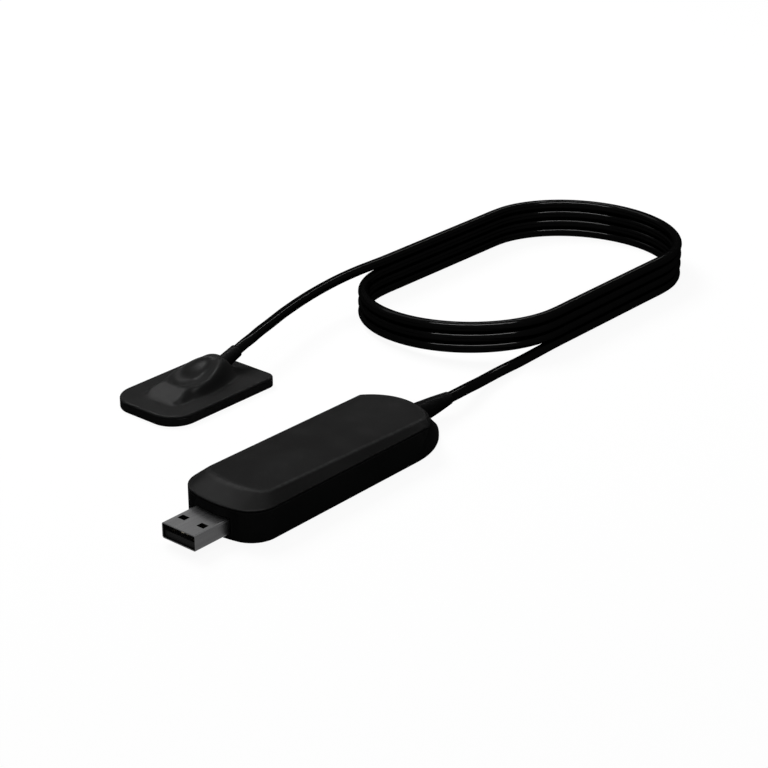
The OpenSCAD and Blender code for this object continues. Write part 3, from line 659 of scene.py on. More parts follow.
# %% Plug steel, tongue and contacts
def make_sheet_metal(name, dark, light, rough, edge=None, across=12000.0, bump=0.0002):
    """Drawn or rolled metal. edge is the tone of its worn edges, for turned pieces only."""
    f = Finish(name, metallic=1.0)
    f.lines_along_y()
    lines = f.group(drawn_lines, Across=across, Along=70.0)
    layers = [(f.group(worn_edges, Start=0.51, End=0.56)["Mask"], grey(edge))] if edge else []
    f.colour(dark, light, lines["Streak"], *layers)
    f.roughness(lines["Streak"], rough - 0.01, rough + 0.01)
    f.bump(lines["Height"], bump * MM)
    return f


def make_moulding(name, dark, light, rough, specular=0.3, scale=8000.0, bump=0.006):
    """Plain moulded plastic or pressed powder."""
    f = Finish(name, specular=specular)
    grain = f.group(moulded_grain, Scale=scale)
    f.colour(dark, light, grain["Cloud"])
    f.roughness(grain["Cloud"], rough - 0.05, rough + 0.05)
    f.bump(grain["Height"], bump * MM)
    return f


dress(make_sheet_metal("plug_steel", grey(0.075, 1.02), grey(0.085, 1.01), 0.26, bump=0.00003),
      "usb_plug_shell")
dress(make_moulding("tongue_plastic", grey(0.008), grey(0.011), 0.5, 0.05), "usb_plug_tongue")
dress(make_sheet_metal("contact_plating", (0.2, 0.18, 0.13), (0.26, 0.23, 0.17), 0.25),
      "usb_contacts")
print("plug dressed")

# %% [markdown]
# ### The boards
#
# A printed board is green laminate under a glossy varnish. What makes it look real is the copper
# beneath: straight runs, a denser field of short ones, and round vias. Two brick patterns of
# different size give the runs, because their joints are straight lines at right angles, and a
# slow noise decides where each of them shows.

# %% Group: board traces
# Each field of copper: its size, the width of its lines, and where the slow noise lets it show
COPPER_FIELDS = [(1.0, 0.03, 0.4, 0.44), (2.3, 0.05, 0.5, 0.54)]
VIA_EDGE, VIA_RIM = 0.09, 0.14
TRACE_SCALE, FIELD_SCALE = 500.0, 110.0


def make_board_traces():
    group, given, vector = new_effect("board_traces", ["Copper", "Via"], Scale=TRACE_SCALE)
    near = noise(group, vector, FIELD_SCALE, detail=1.0)
    fields = []
    for ratio, line, low, high in COPPER_FIELDS:
        scale = math_node(group, "MULTIPLY", given["Scale"], ratio)
        joints = add(group, "ShaderNodeTexBrick", {"Vector": vector, "Scale": scale,
                                                   "Mortar Size": line, "Mortar Smooth": 0.1},
                     offset=0.5)
        shown = remap(group, near, low, high)
        fields.append(math_node(group, "MULTIPLY", joints.outputs["Fac"], shown))
    dots = add(group, "ShaderNodeTexVoronoi", {"Vector": vector, "Scale": given["Scale"],
                                               "Randomness": 0.7})
    via = remap(group, dots.outputs["Distance"], VIA_EDGE, VIA_RIM, to_low=1.0, to_high=0.0)
    add(group, "NodeGroupOutput", {"Copper": math_node(group, "MAXIMUM", *fields), "Via": via})
    return group


board_traces = make_board_traces()
print("board traces:", len(board_traces.nodes), "nodes")

# %% Boards
BARE_COPPER, COPPER_UNDER_VARNISH, TRACE_BUMP = (0.62, 0.5, 0.3), 2.4, 0.02 * MM


def make_board(name, varnish):
    f = Finish(name, coat=0.3)
    traces = f.group(board_traces, Scale=TRACE_SCALE)
    covered = tuple(v * COPPER_UNDER_VARNISH for v in varnish)
    f.colour(varnish, covered, traces["Copper"], (traces["Via"], BARE_COPPER))
    f.roughness(traces["Copper"], 0.36, 0.26)
    f.bump(math_node(f.tree, "MAXIMUM", traces["Copper"], traces["Via"]), TRACE_BUMP)
    return f


dress(make_board("main_board_laminate", (0.006, 0.045, 0.02)), "main_board")
dress(make_board("sensor_board_laminate", (0.008, 0.05, 0.03)), "sensor_board")
print("boards dressed")

# %% [markdown]
# ### Chips and their leads
#
# A chip's black body and its tinned leads are one solid here. The material tells them apart by
# place: a group gives 1 inside a box and 0 outside, and that mask turns plastic into metal. The
# lid of the processor is set off from its carrier in the same way.

# %% Group: inside a box
def make_inside_box():
    corners = ("Vector", "Low", "High")
    group, given = node_group("inside_box", "ShaderNodeTree", [(c, "Vector") for c in corners],
                              [("Mask", "Float")])
    point, low, high = [add(group, "ShaderNodeSeparateXYZ", {0: given[c]}).outputs
                        for c in corners]
    masks = []
    for axis in "XYZ":
        above = math_node(group, "GREATER_THAN", point[axis], low[axis])
        below = math_node(group, "LESS_THAN", point[axis], high[axis])
        masks.append(math_node(group, "MULTIPLY", above, below))
    plan = math_node(group, "MULTIPLY", masks[0], masks[1])
    add(group, "NodeGroupOutput", {"Mask": math_node(group, "MULTIPLY", plan, masks[2])})
    return group


inside_box = make_inside_box()
print("inside a box:", len(inside_box.nodes), "nodes")

# %% Chips
# How far leads or a carrier stand out round a chip's body, in mm. OPEN leaves that axis out.
LEADS, CARRIER, OPEN = 0.79, 1.01, -1
TIN, EPOXY = (0.5, 0.5, 0.49), (0.012, 0.012, 0.013)


def make_chip(name, node_name, inset, body, outside, metallic=1.0):
    """Body colour inside the node's box drawn in by inset, and the other material outside."""
    low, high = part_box(node_name)
    f = Finish(name, specular=0.3)
    mask = f.group(inside_box, Low=[v + gap * MM for v, gap in zip(low, inset)],
                   High=[v - gap * MM for v, gap in zip(high, inset)])["Mask"]
    grain = f.group(moulded_grain, Scale=9000.0)
    f.colour(outside, tuple(v * 1.15 for v in outside), grain["Cloud"], (mask, body))
    rest = math_node(f.tree, "SUBTRACT", 1.0, mask)
    f.feed("Metallic", math_node(f.tree, "MULTIPLY", rest, metallic))
    f.roughness(mask, 0.3, 0.5)
    f.bump(grain["Height"], 0.004 * MM)
    return f


dress(make_chip("bridge_chip_package", "usb_bridge_chip", (LEADS, LEADS, OPEN), EPOXY, TIN),
      "usb_bridge_chip")
dress(make_chip("memory_chip_package", "memory_chip", (LEADS, OPEN, OPEN), EPOXY, TIN),
      "memory_chip")
dress(make_chip("processor_package", "image_processor", (CARRIER, CARRIER, OPEN),
                (0.03, 0.03, 0.032), (0.02, 0.05, 0.03), metallic=0.0), "image_processor")
print("chips dressed")

# %% Cans, housings and rings
METAL_PARTS = {
    "clock_crystal": ("crystal_can", grey(0.45), grey(0.52), 0.28),
    "shield_can": ("shield_tin", grey(0.5), grey(0.58), 0.36, None, 6000.0),
    "crimp_ring": ("crimp_copper", (0.42, 0.3, 0.22), (0.5, 0.37, 0.28), 0.35, 0.5),
    "anchor_ring": ("anchor_brass", (0.5, 0.4, 0.2), (0.56, 0.46, 0.25), 0.32, 0.6)}
MOULDED_PARTS = {
    "power_inductor": ("ferrite", grey(0.03), grey(0.045), 0.75, 0.2, 12000.0, 0.02),
    "cable_header": ("header_nylon", (0.5, 0.46, 0.36), (0.56, 0.52, 0.42), 0.45),
    "cable_connector": ("connector_nylon", (0.66, 0.65, 0.6), (0.72, 0.71, 0.66), 0.4)}
for make, parts in ((make_sheet_metal, METAL_PARTS), (make_moulding, MOULDED_PARTS)):
    for node_name, values in parts.items():
        dress(make(*values), node_name)
print("dressed:", *METAL_PARTS, *MOULDED_PARTS)

# %% [markdown]
# ### Wires and the layers of the sensor
#
# Four thin wires lead from the connector to the cable, one solid with four colours. Their places
# across X choose the colour through a ramp with hard steps. The layers of the sensor come next: a
# scintillator that turns X-rays into green light, a plate of fused fibres that carries the light,
# the silicon imager, a board, a sheet of lead that stops what passes, and a soft pad under the
# lid.

# %% Wires
WIRE_COLOURS = [(0.45, 0.02, 0.02), (0.7, 0.7, 0.68), (0.02, 0.25, 0.06), (0.01, 0.01, 0.01)]


def make_wire_colours():
    f = Finish("wire_insulation", specular=0.4)
    low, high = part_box("lead_wires")
    x = add(f.tree, "ShaderNodeSeparateXYZ", {0: f.place}).outputs["X"]
    across = add(f.tree, "ShaderNodeMapRange", {"Value": x, "From Min": low[0],
                                                "From Max": high[0]})
    ramp = add(f.tree, "ShaderNodeValToRGB", {0: across.outputs[0]})
    stops = ramp.color_ramp
    stops.interpolation = "CONSTANT"
    for k, colour in enumerate(WIRE_COLOURS):
        share = k / len(WIRE_COLOURS)
        stop = stops.elements[k] if k < 2 else stops.elements.new(share)
        stop.position, stop.color = share, (*colour, 1)
    grain = f.group(moulded_grain, Scale=9000.0)
    faded = math_node(f.tree, "MULTIPLY", grain["Cloud"], 0.15)
    f.feed("Base Color", f.mix(ramp.outputs[0], grey(0.03), faded))
    f.roughness(grain["Cloud"], 0.35, 0.48)
    f.bump(grain["Height"], 0.004 * MM)
    return f


dress(make_wire_colours(), "lead_wires")
print("wires dressed in", len(WIRE_COLOURS), "colours")

# %% Sensor layers
def make_cell_layer(name, dark, light, rough, scale, coat=0.0):
    """A layer made of many fine cells: needles, fibres or photodiodes."""
    f = Finish(name, coat=coat)
    cells = add(f.tree, "ShaderNodeTexVoronoi", {"Vector": f.place, "Scale": scale},
                feature="DISTANCE_TO_EDGE")
    wall = remap(f.tree, cells.outputs["Distance"], 0.02, 0.12)
    clouds = remap(f.tree, noise(f.tree, f.place, 300.0), 0.2, 0.6)
    f.colour(dark, light, math_node(f.tree, "MULTIPLY", wall, clouds))
    f.roughness(wall, rough + 0.15, rough)
    f.bump(wall, 0.002 * MM)
    return f


def make_flex():
    f = Finish("flex_film")
    f.lines_along_y()
    lines = f.group(drawn_lines, Across=1500.0, Along=5.0)
    copper = remap(f.tree, lines["Height"], 0.48, 0.56)
    f.colour((0.32, 0.11, 0.015), (0.5, 0.24, 0.05), copper)
    f.roughness(copper, 0.4, 0.28)
    f.bump(copper, 0.01 * MM)
    return f


dress(make_cell_layer("scintillator_needles", (0.5, 0.52, 0.45), (0.78, 0.8, 0.7), 0.6, 16000.0),
      "scintillator")
dress(make_cell_layer("fused_fibres", (0.02, 0.035, 0.03), (0.07, 0.11, 0.09), 0.12, 9000.0, 0.5),
      "fibre_plate")
dress(make_cell_layer("imager_silicon", (0.05, 0.045, 0.06), (0.13, 0.11, 0.16), 0.1, 5000.0, 0.6),
      "imager_chip")
dress(make_sheet_metal("lead_sheet", (0.16, 0.165, 0.18), (0.24, 0.245, 0.26), 0.55,
                       across=2500.0, bump=0.004), "lead_shield")
dress(make_moulding("pad_foam", grey(0.02), grey(0.035), 0.9, 0.1, 3500.0, 0.08), "shock_pad")
dress(make_flex(), "flex_lead")
print("sensor layers dressed")

# %% [markdown]
# ## Outlines of the box in plan
#
# The box has two outlines. At its foot it runs from a bowed front with round corners along
# straight sides to a pointed stern. At the parting line the stern is cut back to one shallow arc.
# Arcs and straight lines describe both exactly, and because each stretch gets the same number of
# points on both outlines, the walls between them are plain quads. This is the loft of a CAD
# program, written out by hand.

# %% Outline helpers
BOW_STEPS, CORNER_STEPS, SIDE_STEPS, STERN_STEPS, TIP_STEPS = 14, 18, 14, 30, 18
REAR_STEPS = STERN_STEPS + TIP_STEPS


def arc(cx, cy, r, start, end, steps):
    angles = [math.radians(start + (end - start) * i / steps) for i in range(steps + 1)]
    return [(cx + r * math.cos(a), cy + r * math.sin(a)) for a in angles]


def bow(half, y, bow_r, corner_r):
    """Right half of a bowed end, from the centre line round the corner."""
    turn = math.asin((half - corner_r) / (bow_r - corner_r))
    cy = y + bow_r - (bow_r - corner_r) * math.cos(turn)
    turn = math.degrees(turn)
    corner = arc(half - corner_r, cy, corner_r, turn - 90, 0, CORNER_STEPS)
    return arc(0, y + bow_r, bow_r, -90, turn - 90, BOW_STEPS) + corner[1:]


def round_end(half, y, r):
    """Right half of an end that is one shallow arc."""
    return arc(0, y - r, r, math.degrees(math.acos(half / r)), 90, REAR_STEPS)


def whole_outline(front, rear):
    """Joins a front and a rear by straight sides, and mirrors the right half to the left."""
    a, b = front[-1], rear[0]
    side = [(a[0] + (b[0] - a[0]) * i / SIDE_STEPS, a[1] + (b[1] - a[1]) * i / SIDE_STEPS)
            for i in range(1, SIDE_STEPS)]
    half = front + side + rear
    return half + [(-x, y) for x, y in reversed(half[1:-1])]


def at_height(outline, z):
    return [(x, y, z) for x, y in outline]


print("a bowed end has", BOW_STEPS + CORNER_STEPS + 1, "points")

# %% Sizes of the box
BOX_L, BOX_W, WALL_H = 87 * MM, 28 * MM, 8.8 * MM
DECK_RISE, DECK_FALL, CROWN = 3.4 * MM, 1.3 * MM, 0.35 * MM
BEVEL_FRONT, BEVEL_REAR, FOREHEAD = 3.2 * MM, 2.1 * MM, 6.5 * MM
BOW_R, CORNER_R, STERN_L, STERN_SLOPE, STERN_EDGE = 32 * MM, 8 * MM, 21.2 * MM, 7.9 * MM, 1.5 * MM
WALL, FLOOR_T, PART_GAP, FIT, CABLE_D = 1.5 * MM, 1.3 * MM, 0.2 * MM, 0.1 * MM, 3.3 * MM
HALF_W, FRONT_Y, TIP_Y = BOX_W / 2, -BOX_L / 2, BOX_L / 2
RIM_TIP_Y = TIP_Y - STERN_SLOPE
RIM_ARC_R = HALF_W * 1.11
BULKHEAD_Y = RIM_TIP_Y - 2 * MM
COVER_Z = WALL_H + PART_GAP
STERN_R = (((STERN_L - CORNER_R) ** 2 + HALF_W ** 2 - CORNER_R ** 2)
           / (2 * (HALF_W - CORNER_R)))
DECK_FRONT_Y = FRONT_Y + FOREHEAD
DECK_TIP_Y = RIM_TIP_Y - STERN_SLOPE * (DECK_RISE - DECK_FALL) / (WALL_H - STERN_EDGE)
DECK_FRONT_HALF, DECK_REAR_HALF = HALF_W - BEVEL_FRONT, HALF_W - BEVEL_REAR
DECK_BOW_R, DECK_CORNER_R, DECK_ARC_R = BOW_R * 0.8, 4 * MM, DECK_REAR_HALF * 1.36
CROWN_R = (DECK_REAR_HALF ** 2 + CROWN ** 2) / (2 * CROWN)


def stern(t):
    """Right half of the pointed stern with its rounded tip."""
    tip = TIP_Y - CORNER_R
    turn = math.degrees(math.atan2(tip - (TIP_Y - STERN_L), STERN_R - HALF_W))
    return (arc(HALF_W - STERN_R, TIP_Y - STERN_L, STERN_R - t, 0, turn, STERN_STEPS)
            + arc(0, tip, CORNER_R - t, turn, 90, TIP_STEPS)[1:])


def box_front(t):
    return bow(HALF_W - t, FRONT_Y + t, BOW_R - t, CORNER_R - t)


def foot_outline(t=0.0):
    return whole_outline(box_front(t), stern(t))


def rim_outline(t=0.0):
    return whole_outline(box_front(t), round_end(HALF_W - t, RIM_TIP_Y - t, RIM_ARC_R - t))


def deck_outline(t=0.0):
    front = bow(DECK_FRONT_HALF - t, DECK_FRONT_Y + t, DECK_BOW_R - t, DECK_CORNER_R - t)
    return whole_outline(front, round_end(DECK_REAR_HALF - t, DECK_TIP_Y - t, DECK_ARC_R - t))


def deck_z(x, y):
    """Height of the deck: a slope down to the rear with a shallow crown across it."""
    slope = DECK_FALL / (DECK_TIP_Y - DECK_FRONT_Y)
    return WALL_H + DECK_RISE - slope * (y - DECK_FRONT_Y) + CROWN - x * x / (2 * CROWN_R)


print("outline points:", len(foot_outline()), len(rim_outline()), len(deck_outline()))

# %% [markdown]
# ### The base of the box
#
# The base is a tub whose rear end is solid, because the cable's gland is bored through it. Its
# outer wall goes up from the foot outline to the rim outline, over a small radius at the bottom
# and a tiny one at the parting line, and comes down again inside. Then a cutter with the plug's
# window, the gland's bore and the hooks' pockets is taken out of it in one boolean step. The
# posts, with pilot holes for the screws, and the ribs of the floor are set in last.

# %% Blocks, turned solids and cuts
def block(low, high):
    """Points and faces of a plain block between two corners."""
    xs, ys, zs = zip(low, high)
    plan = ((xs[0], ys[0]), (xs[1], ys[0]), (xs[1], ys[1]), (xs[0], ys[1]))
    return tube([at_height(plan, z) for z in zs])


def turned(profile, place, along, steps=48):
    """Points and faces of a turned solid. profile is (radius, distance) pairs along the axis."""
    along = Vector(along).normalized()
    side = Vector((1, 0, 0)) if abs(along.x) < 0.9 else Vector((0, 1, 0))
    side = (side - side.dot(along) * along).normalized()
    third = along.cross(side)
    angles = [2 * math.pi * k / steps for k in range(steps)]
    return tube([[Vector(place) + along * d + r * (math.cos(a) * side + math.sin(a) * third)
                  for a in angles] for r, d in profile])


def cut_away(piece, parts):
    cutter = new_piece("cutter", *joined(parts), smooth=False)
    face_outwards(cutter)
    step = piece.modifiers.new("cut", "BOOLEAN")
    step.operation, step.solver, step.object = "DIFFERENCE", "EXACT", cutter
    apply_modifiers(piece)
    bpy.data.objects.remove(cutter)


def join_into(piece, other):
    shape = bmesh.new()
    shape.from_mesh(piece.data)
    shape.from_mesh(other.data)
    shape.to_mesh(piece.data)
    shape.free()
    bpy.data.objects.remove(other)


def place(piece, finish, slot_name, *nodes):
    """What every new piece needs: its finish, its body and the nodes it stands for; slot_name is
    not used.
    """
    wear(piece, finish)
    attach(piece, BODY)
    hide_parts(*nodes)
    print(piece.name, len(piece.data.polygons), "faces")


print("solid helpers ready")

# %% Sizes inside the box
PLUG_W, PLUG_H, PLUG_Z = 12 * MM, 4.5 * MM, 4.1 * MM
EXIT_Z, RELIEF_R, RELIEF_TIP_R, SNUG = 4.7 * MM, 3.3 * MM, 1.95 * MM, 0.05 * MM
RELIEF_TIP_Y, RELIEF_TAPER_Y = TIP_Y + 9.3 * MM, TIP_Y - 5.5 * MM
BOARD_LOW, BOARD_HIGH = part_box("main_board")
SCREW_LOW, SCREW_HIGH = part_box("board_screws")
SCREW_R = 1.8 * MM
SCREW_PLACES = [(x, y) for x in (SCREW_LOW[0] + SCREW_R, SCREW_HIGH[0] - SCREW_R)
                for y in (SCREW_LOW[1] + SCREW_R, SCREW_HIGH[1] - SCREW_R)]
POST_R, PILOT_R, PILOT_LOW, PILOT_HIGH = 2.1 * MM, 0.85 * MM, 0.5 * MM, 4.2 * MM
RIB_STEP, RIB_T, RIB_H, BITE = 12 * MM, 1 * MM, 0.7 * MM, 0.3 * MM
HOOK_YS, HOOK_HALF = [FRONT_Y + 20 * MM, FRONT_Y + 52 * MM], 3 * MM
POCKET_LOW, POCKET_HIGH = WALL_H - 2.6 * MM, WALL_H - 1.3 * MM
print("screws at:", [[round(v, 4) for v in spot] for spot in SCREW_PLACES])

# %% Walls of the base
EDGE_R = 0.5 * MM
# Heights of the rings in mm: on the upright edge, up the slope of the stern, and on the rounded
# rim, where each ring also says how far it is drawn in
EDGE_HEIGHTS, SLOPE_HEIGHTS = (0.7, 1.2, 1.4), (1.6, 1.9, 4, 6.4, 8.3, 8.55, 8.66)
RIM_RINGS, RIM_BREAK = ((0.05, 8.76), (0.15, 8.8)), 0.1 * MM


def between_outlines(z):
    """The outline at a height between the stern's upright edge and the parting line."""
    k = (z - STERN_EDGE) / (WALL_H - STERN_EDGE)
    return [(a[0] + (b[0] - a[0]) * k, a[1] + (b[1] - a[1]) * k, z)
            for a, b in zip(foot_outline(), rim_outline())]


def tub_wall(t):
    """The inner wall's outline: the rim drawn in by t, and cut straight at the bulkhead."""
    return [(x, min(y, BULKHEAD_Y + WALL - t)) for x, y in rim_outline(t)]


def base_rings():
    rings = [at_height(foot_outline(EDGE_R * (1 - math.sin(a))), EDGE_R * (1 - math.cos(a)))
             for a in (math.radians(15 * i) for i in range(7))]
    rings += [at_height(foot_outline(), z * MM) for z in EDGE_HEIGHTS]
    rings += [between_outlines(z * MM) for z in SLOPE_HEIGHTS]
    rings += [at_height(rim_outline(t * MM), z * MM) for t, z in RIM_RINGS]
    inner = tub_wall(WALL)
    return rings + [at_height(tub_wall(WALL - RIM_BREAK), WALL_H),
                    at_height(inner, WALL_H - RIM_BREAK), at_height(inner, FLOOR_T)]


print("rings of the base:", len(base_rings()))

# %% Posts, ribs and what is cut away
def uprights(r, low, high, steps):
    """A round post from low to high at each screw's place."""
    return [turned([(r, low), (r, high)], (x, y, 0), (0, 0, 1), steps) for x, y in SCREW_PLACES]


def base_inside():
    """Posts for the board's screws, and ribs across the floor."""
    parts = uprights(POST_R, FLOOR_T - BITE, BOARD_LOW[2] - SNUG, 32)
    y = SCREW_PLACES[0][1] + RIB_STEP
    while y < SCREW_PLACES[1][1] - 8 * MM:
        parts.append(block((-HALF_W + WALL - BITE, y, FLOOR_T - BITE),
                           (HALF_W - WALL + BITE, y + RIB_T, FLOOR_T + RIB_H)))
        y += RIB_STEP
    return parts


def base_cutters():
    """The plug's window, the gland's bore and the pockets of the hooks."""
    window = block((-PLUG_W / 2 - FIT, FRONT_Y - 1 * MM, PLUG_Z - PLUG_H / 2 - FIT),
                   (PLUG_W / 2 + FIT, FRONT_Y + WALL + 4 * MM, PLUG_Z + PLUG_H / 2 + FIT))
    bore = turned([(RELIEF_R + SNUG, BULKHEAD_Y - 1 * MM), (RELIEF_R + SNUG, RELIEF_TAPER_Y),
                   (RELIEF_TIP_R + SNUG, RELIEF_TIP_Y)], (0, 0, EXIT_Z), (0, 1, 0), 64)
    half_x, half_y = 0.4 * MM, HOOK_HALF + BITE
    pockets = [block((x - half_x, y - half_y, POCKET_LOW), (x + half_x, y + half_y, POCKET_HIGH))
               for x in (-HALF_W + WALL - 0.2 * MM, HALF_W - WALL + 0.2 * MM) for y in HOOK_YS]
    return [window, bore] + pockets


print("inside the base:", len(base_inside()), "parts, cut away:", len(base_cutters()))

# %% Box base
def make_box_base():
    base = new_piece("interface_box_base", *tube(base_rings()))
    face_outwards(base)
    cut_away(base, base_cutters())
    inside = new_piece("inside", *joined(base_inside()))
    face_outwards(inside)
    cut_away(inside, uprights(PILOT_R, PILOT_LOW, PILOT_HIGH, 24))
    join_into(base, inside)
    crisp(base)
    return base


place(make_box_base(), box_plastic, "box_plastic", "box_base")

# %% [markdown]
# ### The cover of the box
#
# The cover is what the eye reads as the box: a low lid with a crowned deck, long side bevels that
# narrow to the rear, a sloping forehead over the plug and a short slope at the stern. The creases
# are soft, about a millimetre round; they catch a little light from the lamps, and a painted
# highlight in the plastic's colour draws them as fine lines. The surface is built rib by rib: each
# point of the rim outline is joined to its partner on the deck's outline, with a short curve where
# the wall turns into the bevel and another where the bevel turns into the deck.
# The deck itself is a sheet of rows that run straight across, which keeps its crown free of any
# knot of edges.

# %% Ribs of the cover
SPINE_FRONT, SPINE_REAR = DECK_FRONT_Y + 9 * MM, DECK_TIP_Y - 9 * MM
SHOULDER_H, FOREHEAD_BLEND = 0.4 * MM, 3 * MM
CREASE_SOFT, FRONT_SOFTER = 0.75 * MM, 0.7 * MM
# How far the shoulder's curve reaches down and up, and where the plain bevel begins
CURVE_DOWN, CURVE_UP, BEVEL_FROM = 0.22 * MM, 0.45 * MM, 0.65 * MM


def toward(a, b, distance):
    return a + (b - a).normalized() * min(distance, (b - a).length * 0.45)


def deck_spine(y, drop=0.0):
    """The point on the deck's centre line that the rib at y runs to."""
    y = min(max(y, SPINE_FRONT), SPINE_REAR)
    return Vector((0, y, deck_z(0, y) - drop))


def cover_rib(rim, deck):
    """Points of one rib, from the parting line up over the crease to the edge of the deck."""
    foot = Vector((rim[0], rim[1], COVER_Z))
    shoulder = foot + Vector((0, 0, SHOULDER_H))
    crease = Vector((deck[0], deck[1], deck_z(*deck)))
    front = max(0.0, min(1.0, (DECK_FRONT_Y + FOREHEAD_BLEND - deck[1]) / FOREHEAD_BLEND))
    soft = CREASE_SOFT + FRONT_SOFTER * front
    inward = Vector((-rim[0], -rim[1] * 0.6, 0)).normalized() * RIM_BREAK
    points = [foot + inward, foot + Vector((0, 0, RIM_BREAK)), foot + Vector((0, 0, 0.16 * MM))]
    below, above = toward(shoulder, foot, CURVE_DOWN), toward(shoulder, crease, CURVE_UP)
    points += [bezier(below, shoulder, above, i / 4) for i in range(5)]
    start, end = toward(crease, shoulder, soft), toward(crease, deck_spine(deck[1]), soft)
    end.z = deck_z(end.x, end.y)
    points += [toward(shoulder, crease, BEVEL_FROM), (above + start) / 2,
               start + (above - start) * 0.06]
    points += [bezier(start, crease, end, i / 6) for i in range(7)]
    return points


print("points on a rib:", len(cover_rib(rim_outline()[0], deck_outline()[0])))

# %% Shell of the cover
DECK_COLUMNS = 24


def deck_rows(edge):
    """Points and faces of the deck: rows that run from the right half of its edge to the left."""
    points, rows = [], len(edge) // 2 + 1
    for k in range(rows):
        right, left = edge[k], edge[-k]
        for j in range(DECK_COLUMNS + 1):
            x = right.x + (left.x - right.x) * j / DECK_COLUMNS
            points.append(Vector((x, right.y, deck_z(x, right.y))))
    return points, grid_faces(rows, DECK_COLUMNS + 1)


def cover_inner_rib(rim, deck):
    """Points of the cover's inner wall under one rib, from the centre line to the parting line."""
    top = Vector((deck[0], deck[1], deck_z(*deck) - WALL))
    spine = deck_spine(deck[1], WALL)
    return [spine, spine.lerp(top, 0.5), top, Vector((rim[0], rim[1], COVER_Z))]


def make_box_cover():
    inner = [cover_inner_rib(a, b) for a, b in zip(rim_outline(WALL), deck_outline(WALL))]
    outer = [cover_rib(a, b) for a, b in zip(rim_outline(), deck_outline())]
    rings = [list(ring) for ring in (*zip(*inner), *zip(*outer))]
    cover = new_piece("interface_box_cover", *joined([tube(rings, "open"), deck_rows(rings[-1])]))
    face_outwards(cover, merge=0.002 * MM, drop_slivers=True)
    crisp(cover)
    return cover


box_cover = make_box_cover()
print("shell of the cover:", len(box_cover.data.polygons), "faces")

# %% Lip, hooks and the rib that holds the plug
# Each block of a hook in mm: from and to outwards of the lip's inner face, then up from the rim
HOOK_BLOCKS = ((-0.15, 0.75, -2.5, 0.1), (0.4, 1.1, -2.4, -1.5))
HOLDER_HALF, HOLDER_T = 4 * MM, 1.2 * MM
LIP_T, LIP_LOW, LIP_HIGH = 0.8 * MM, WALL_H - 1.2 * MM, COVER_Z + 0.6 * MM


def cover_inside_parts():
    """Locating lip, four snap hooks and the rib that holds the plug down."""
    lip_in = WALL + FIT + LIP_T
    outer = [(x, min(y, BULKHEAD_Y - 1 * MM)) for x, y in rim_outline(WALL + FIT)]
    inner = [(x, min(y, BULKHEAD_Y - 1 * MM - LIP_T)) for x, y in rim_outline(lip_in)]
    lip = tube([at_height(outer, LIP_LOW), at_height(outer, LIP_HIGH),
                at_height(inner, LIP_HIGH), at_height(inner, LIP_LOW)], "joined")
    hooks = []
    for s in (-1, 1):
        for y in HOOK_YS:
            for x0, x1, z0, z1 in HOOK_BLOCKS:
                xs = sorted(s * (HALF_W - lip_in + x * MM) for x in (x0, x1))
                hooks.append(block((xs[0], y - HOOK_HALF, WALL_H + z0 * MM),
                                   (xs[1], y + HOOK_HALF, WALL_H + z1 * MM)))
    rib_y = FRONT_Y + WALL + 2.2 * MM
    rib = block((-HOLDER_HALF, rib_y, PLUG_Z + PLUG_H / 2 + SNUG),
                (HOLDER_HALF, rib_y + HOLDER_T, WALL_H + 1 * MM))
    return [lip] + hooks + [rib]


join_into(box_cover, moulded("insides", joined(cover_inside_parts())))
place(box_cover, box_plastic, "box_plastic", "box_cover")

# %% [markdown]
# ### The strain relief of the box
#
# A soft cone keeps the cable from kinking at the stern. It is moulded round the cable, so it is a
# turned shape: a flange that sits behind the bulkhead, a neck in the gland's bore and a taper
# outside. Only the flange isn't round, because it is trimmed flat where it stands on the floor
# and under the cover.

# %% Strain relief
RELIEF_NECK, RELIEF_ROUND = (2.62 * MM, TIP_Y + 3 * MM), 0.22 * MM
FLANGE_OUT, TIP_SHORT = 1.2 * MM, 0.02 * MM


def rounded_profile(corners, radius, steps=4):
    """A half profile of (radius, distance) corners, with every inner corner rounded."""
    path = [Vector((r, d)) for r, d in corners]
    out = [path[0]]
    for before, corner, after in zip(path, path[1:], path[2:]):
        start, end = toward(corner, before, radius), toward(corner, after, radius)
        out += [bezier(start, corner, end, i / steps) for i in range(steps + 1)]
    return [(p.x, p.y) for p in out + [path[-1]]]


def make_strain_relief():
    start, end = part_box("box_strain_relief")[0][1], RELIEF_TIP_Y - TIP_SHORT
    behind = BULKHEAD_Y - SNUG
    profile = rounded_profile(
        [(CABLE_D / 2, start), (RELIEF_R + FLANGE_OUT, start), (RELIEF_R + FLANGE_OUT, behind),
         (RELIEF_R, behind), (RELIEF_R, RELIEF_TAPER_Y), RELIEF_NECK,
         (RELIEF_TIP_R, end), (CABLE_D / 2, end)], RELIEF_ROUND)
    points, faces = turned(profile, (0, 0, EXIT_Z), (0, 1, 0), 56)
    low, high = FLOOR_T + SNUG, LIP_LOW - SNUG
    for p in points:
        if p.y < BULKHEAD_Y:
            p.z = min(max(p.z, low), high)
    return moulded("strain_relief", (points, faces), 40)


place(make_strain_relief(), boot_rubber, "boot_rubber", "box_strain_relief")

# %% [markdown]
# ## The cable
#
# The cable is 3.3 mm thick and joins the box to the sensor. From the strain relief it comes down
# to the table, runs into a coil of four turns that lie on each other, and leaves the top turn to
# rise gently into the sensor's boot. A curve with a bevel would be the quick way. A circle swept
# along a line by Geometry Nodes is better here, because it can store where each point lies on the
# jacket. The free stretches are a few listed points. The coil is a loop: two straight
# sides and two half ellipses, where each turn climbs one pitch at the near end.

# %% Route of the cable
PITCH = 3.4 * MM
TURNS = 4
COIL_X, COIL_Y = -39.4 * MM, 141.2 * MM
COIL_R, COIL_END, COIL_STRAIGHT = 34.6 * MM, 31.5 * MM, 59.4 * MM
ARC_STEPS, RUN_STEPS = 18, 8

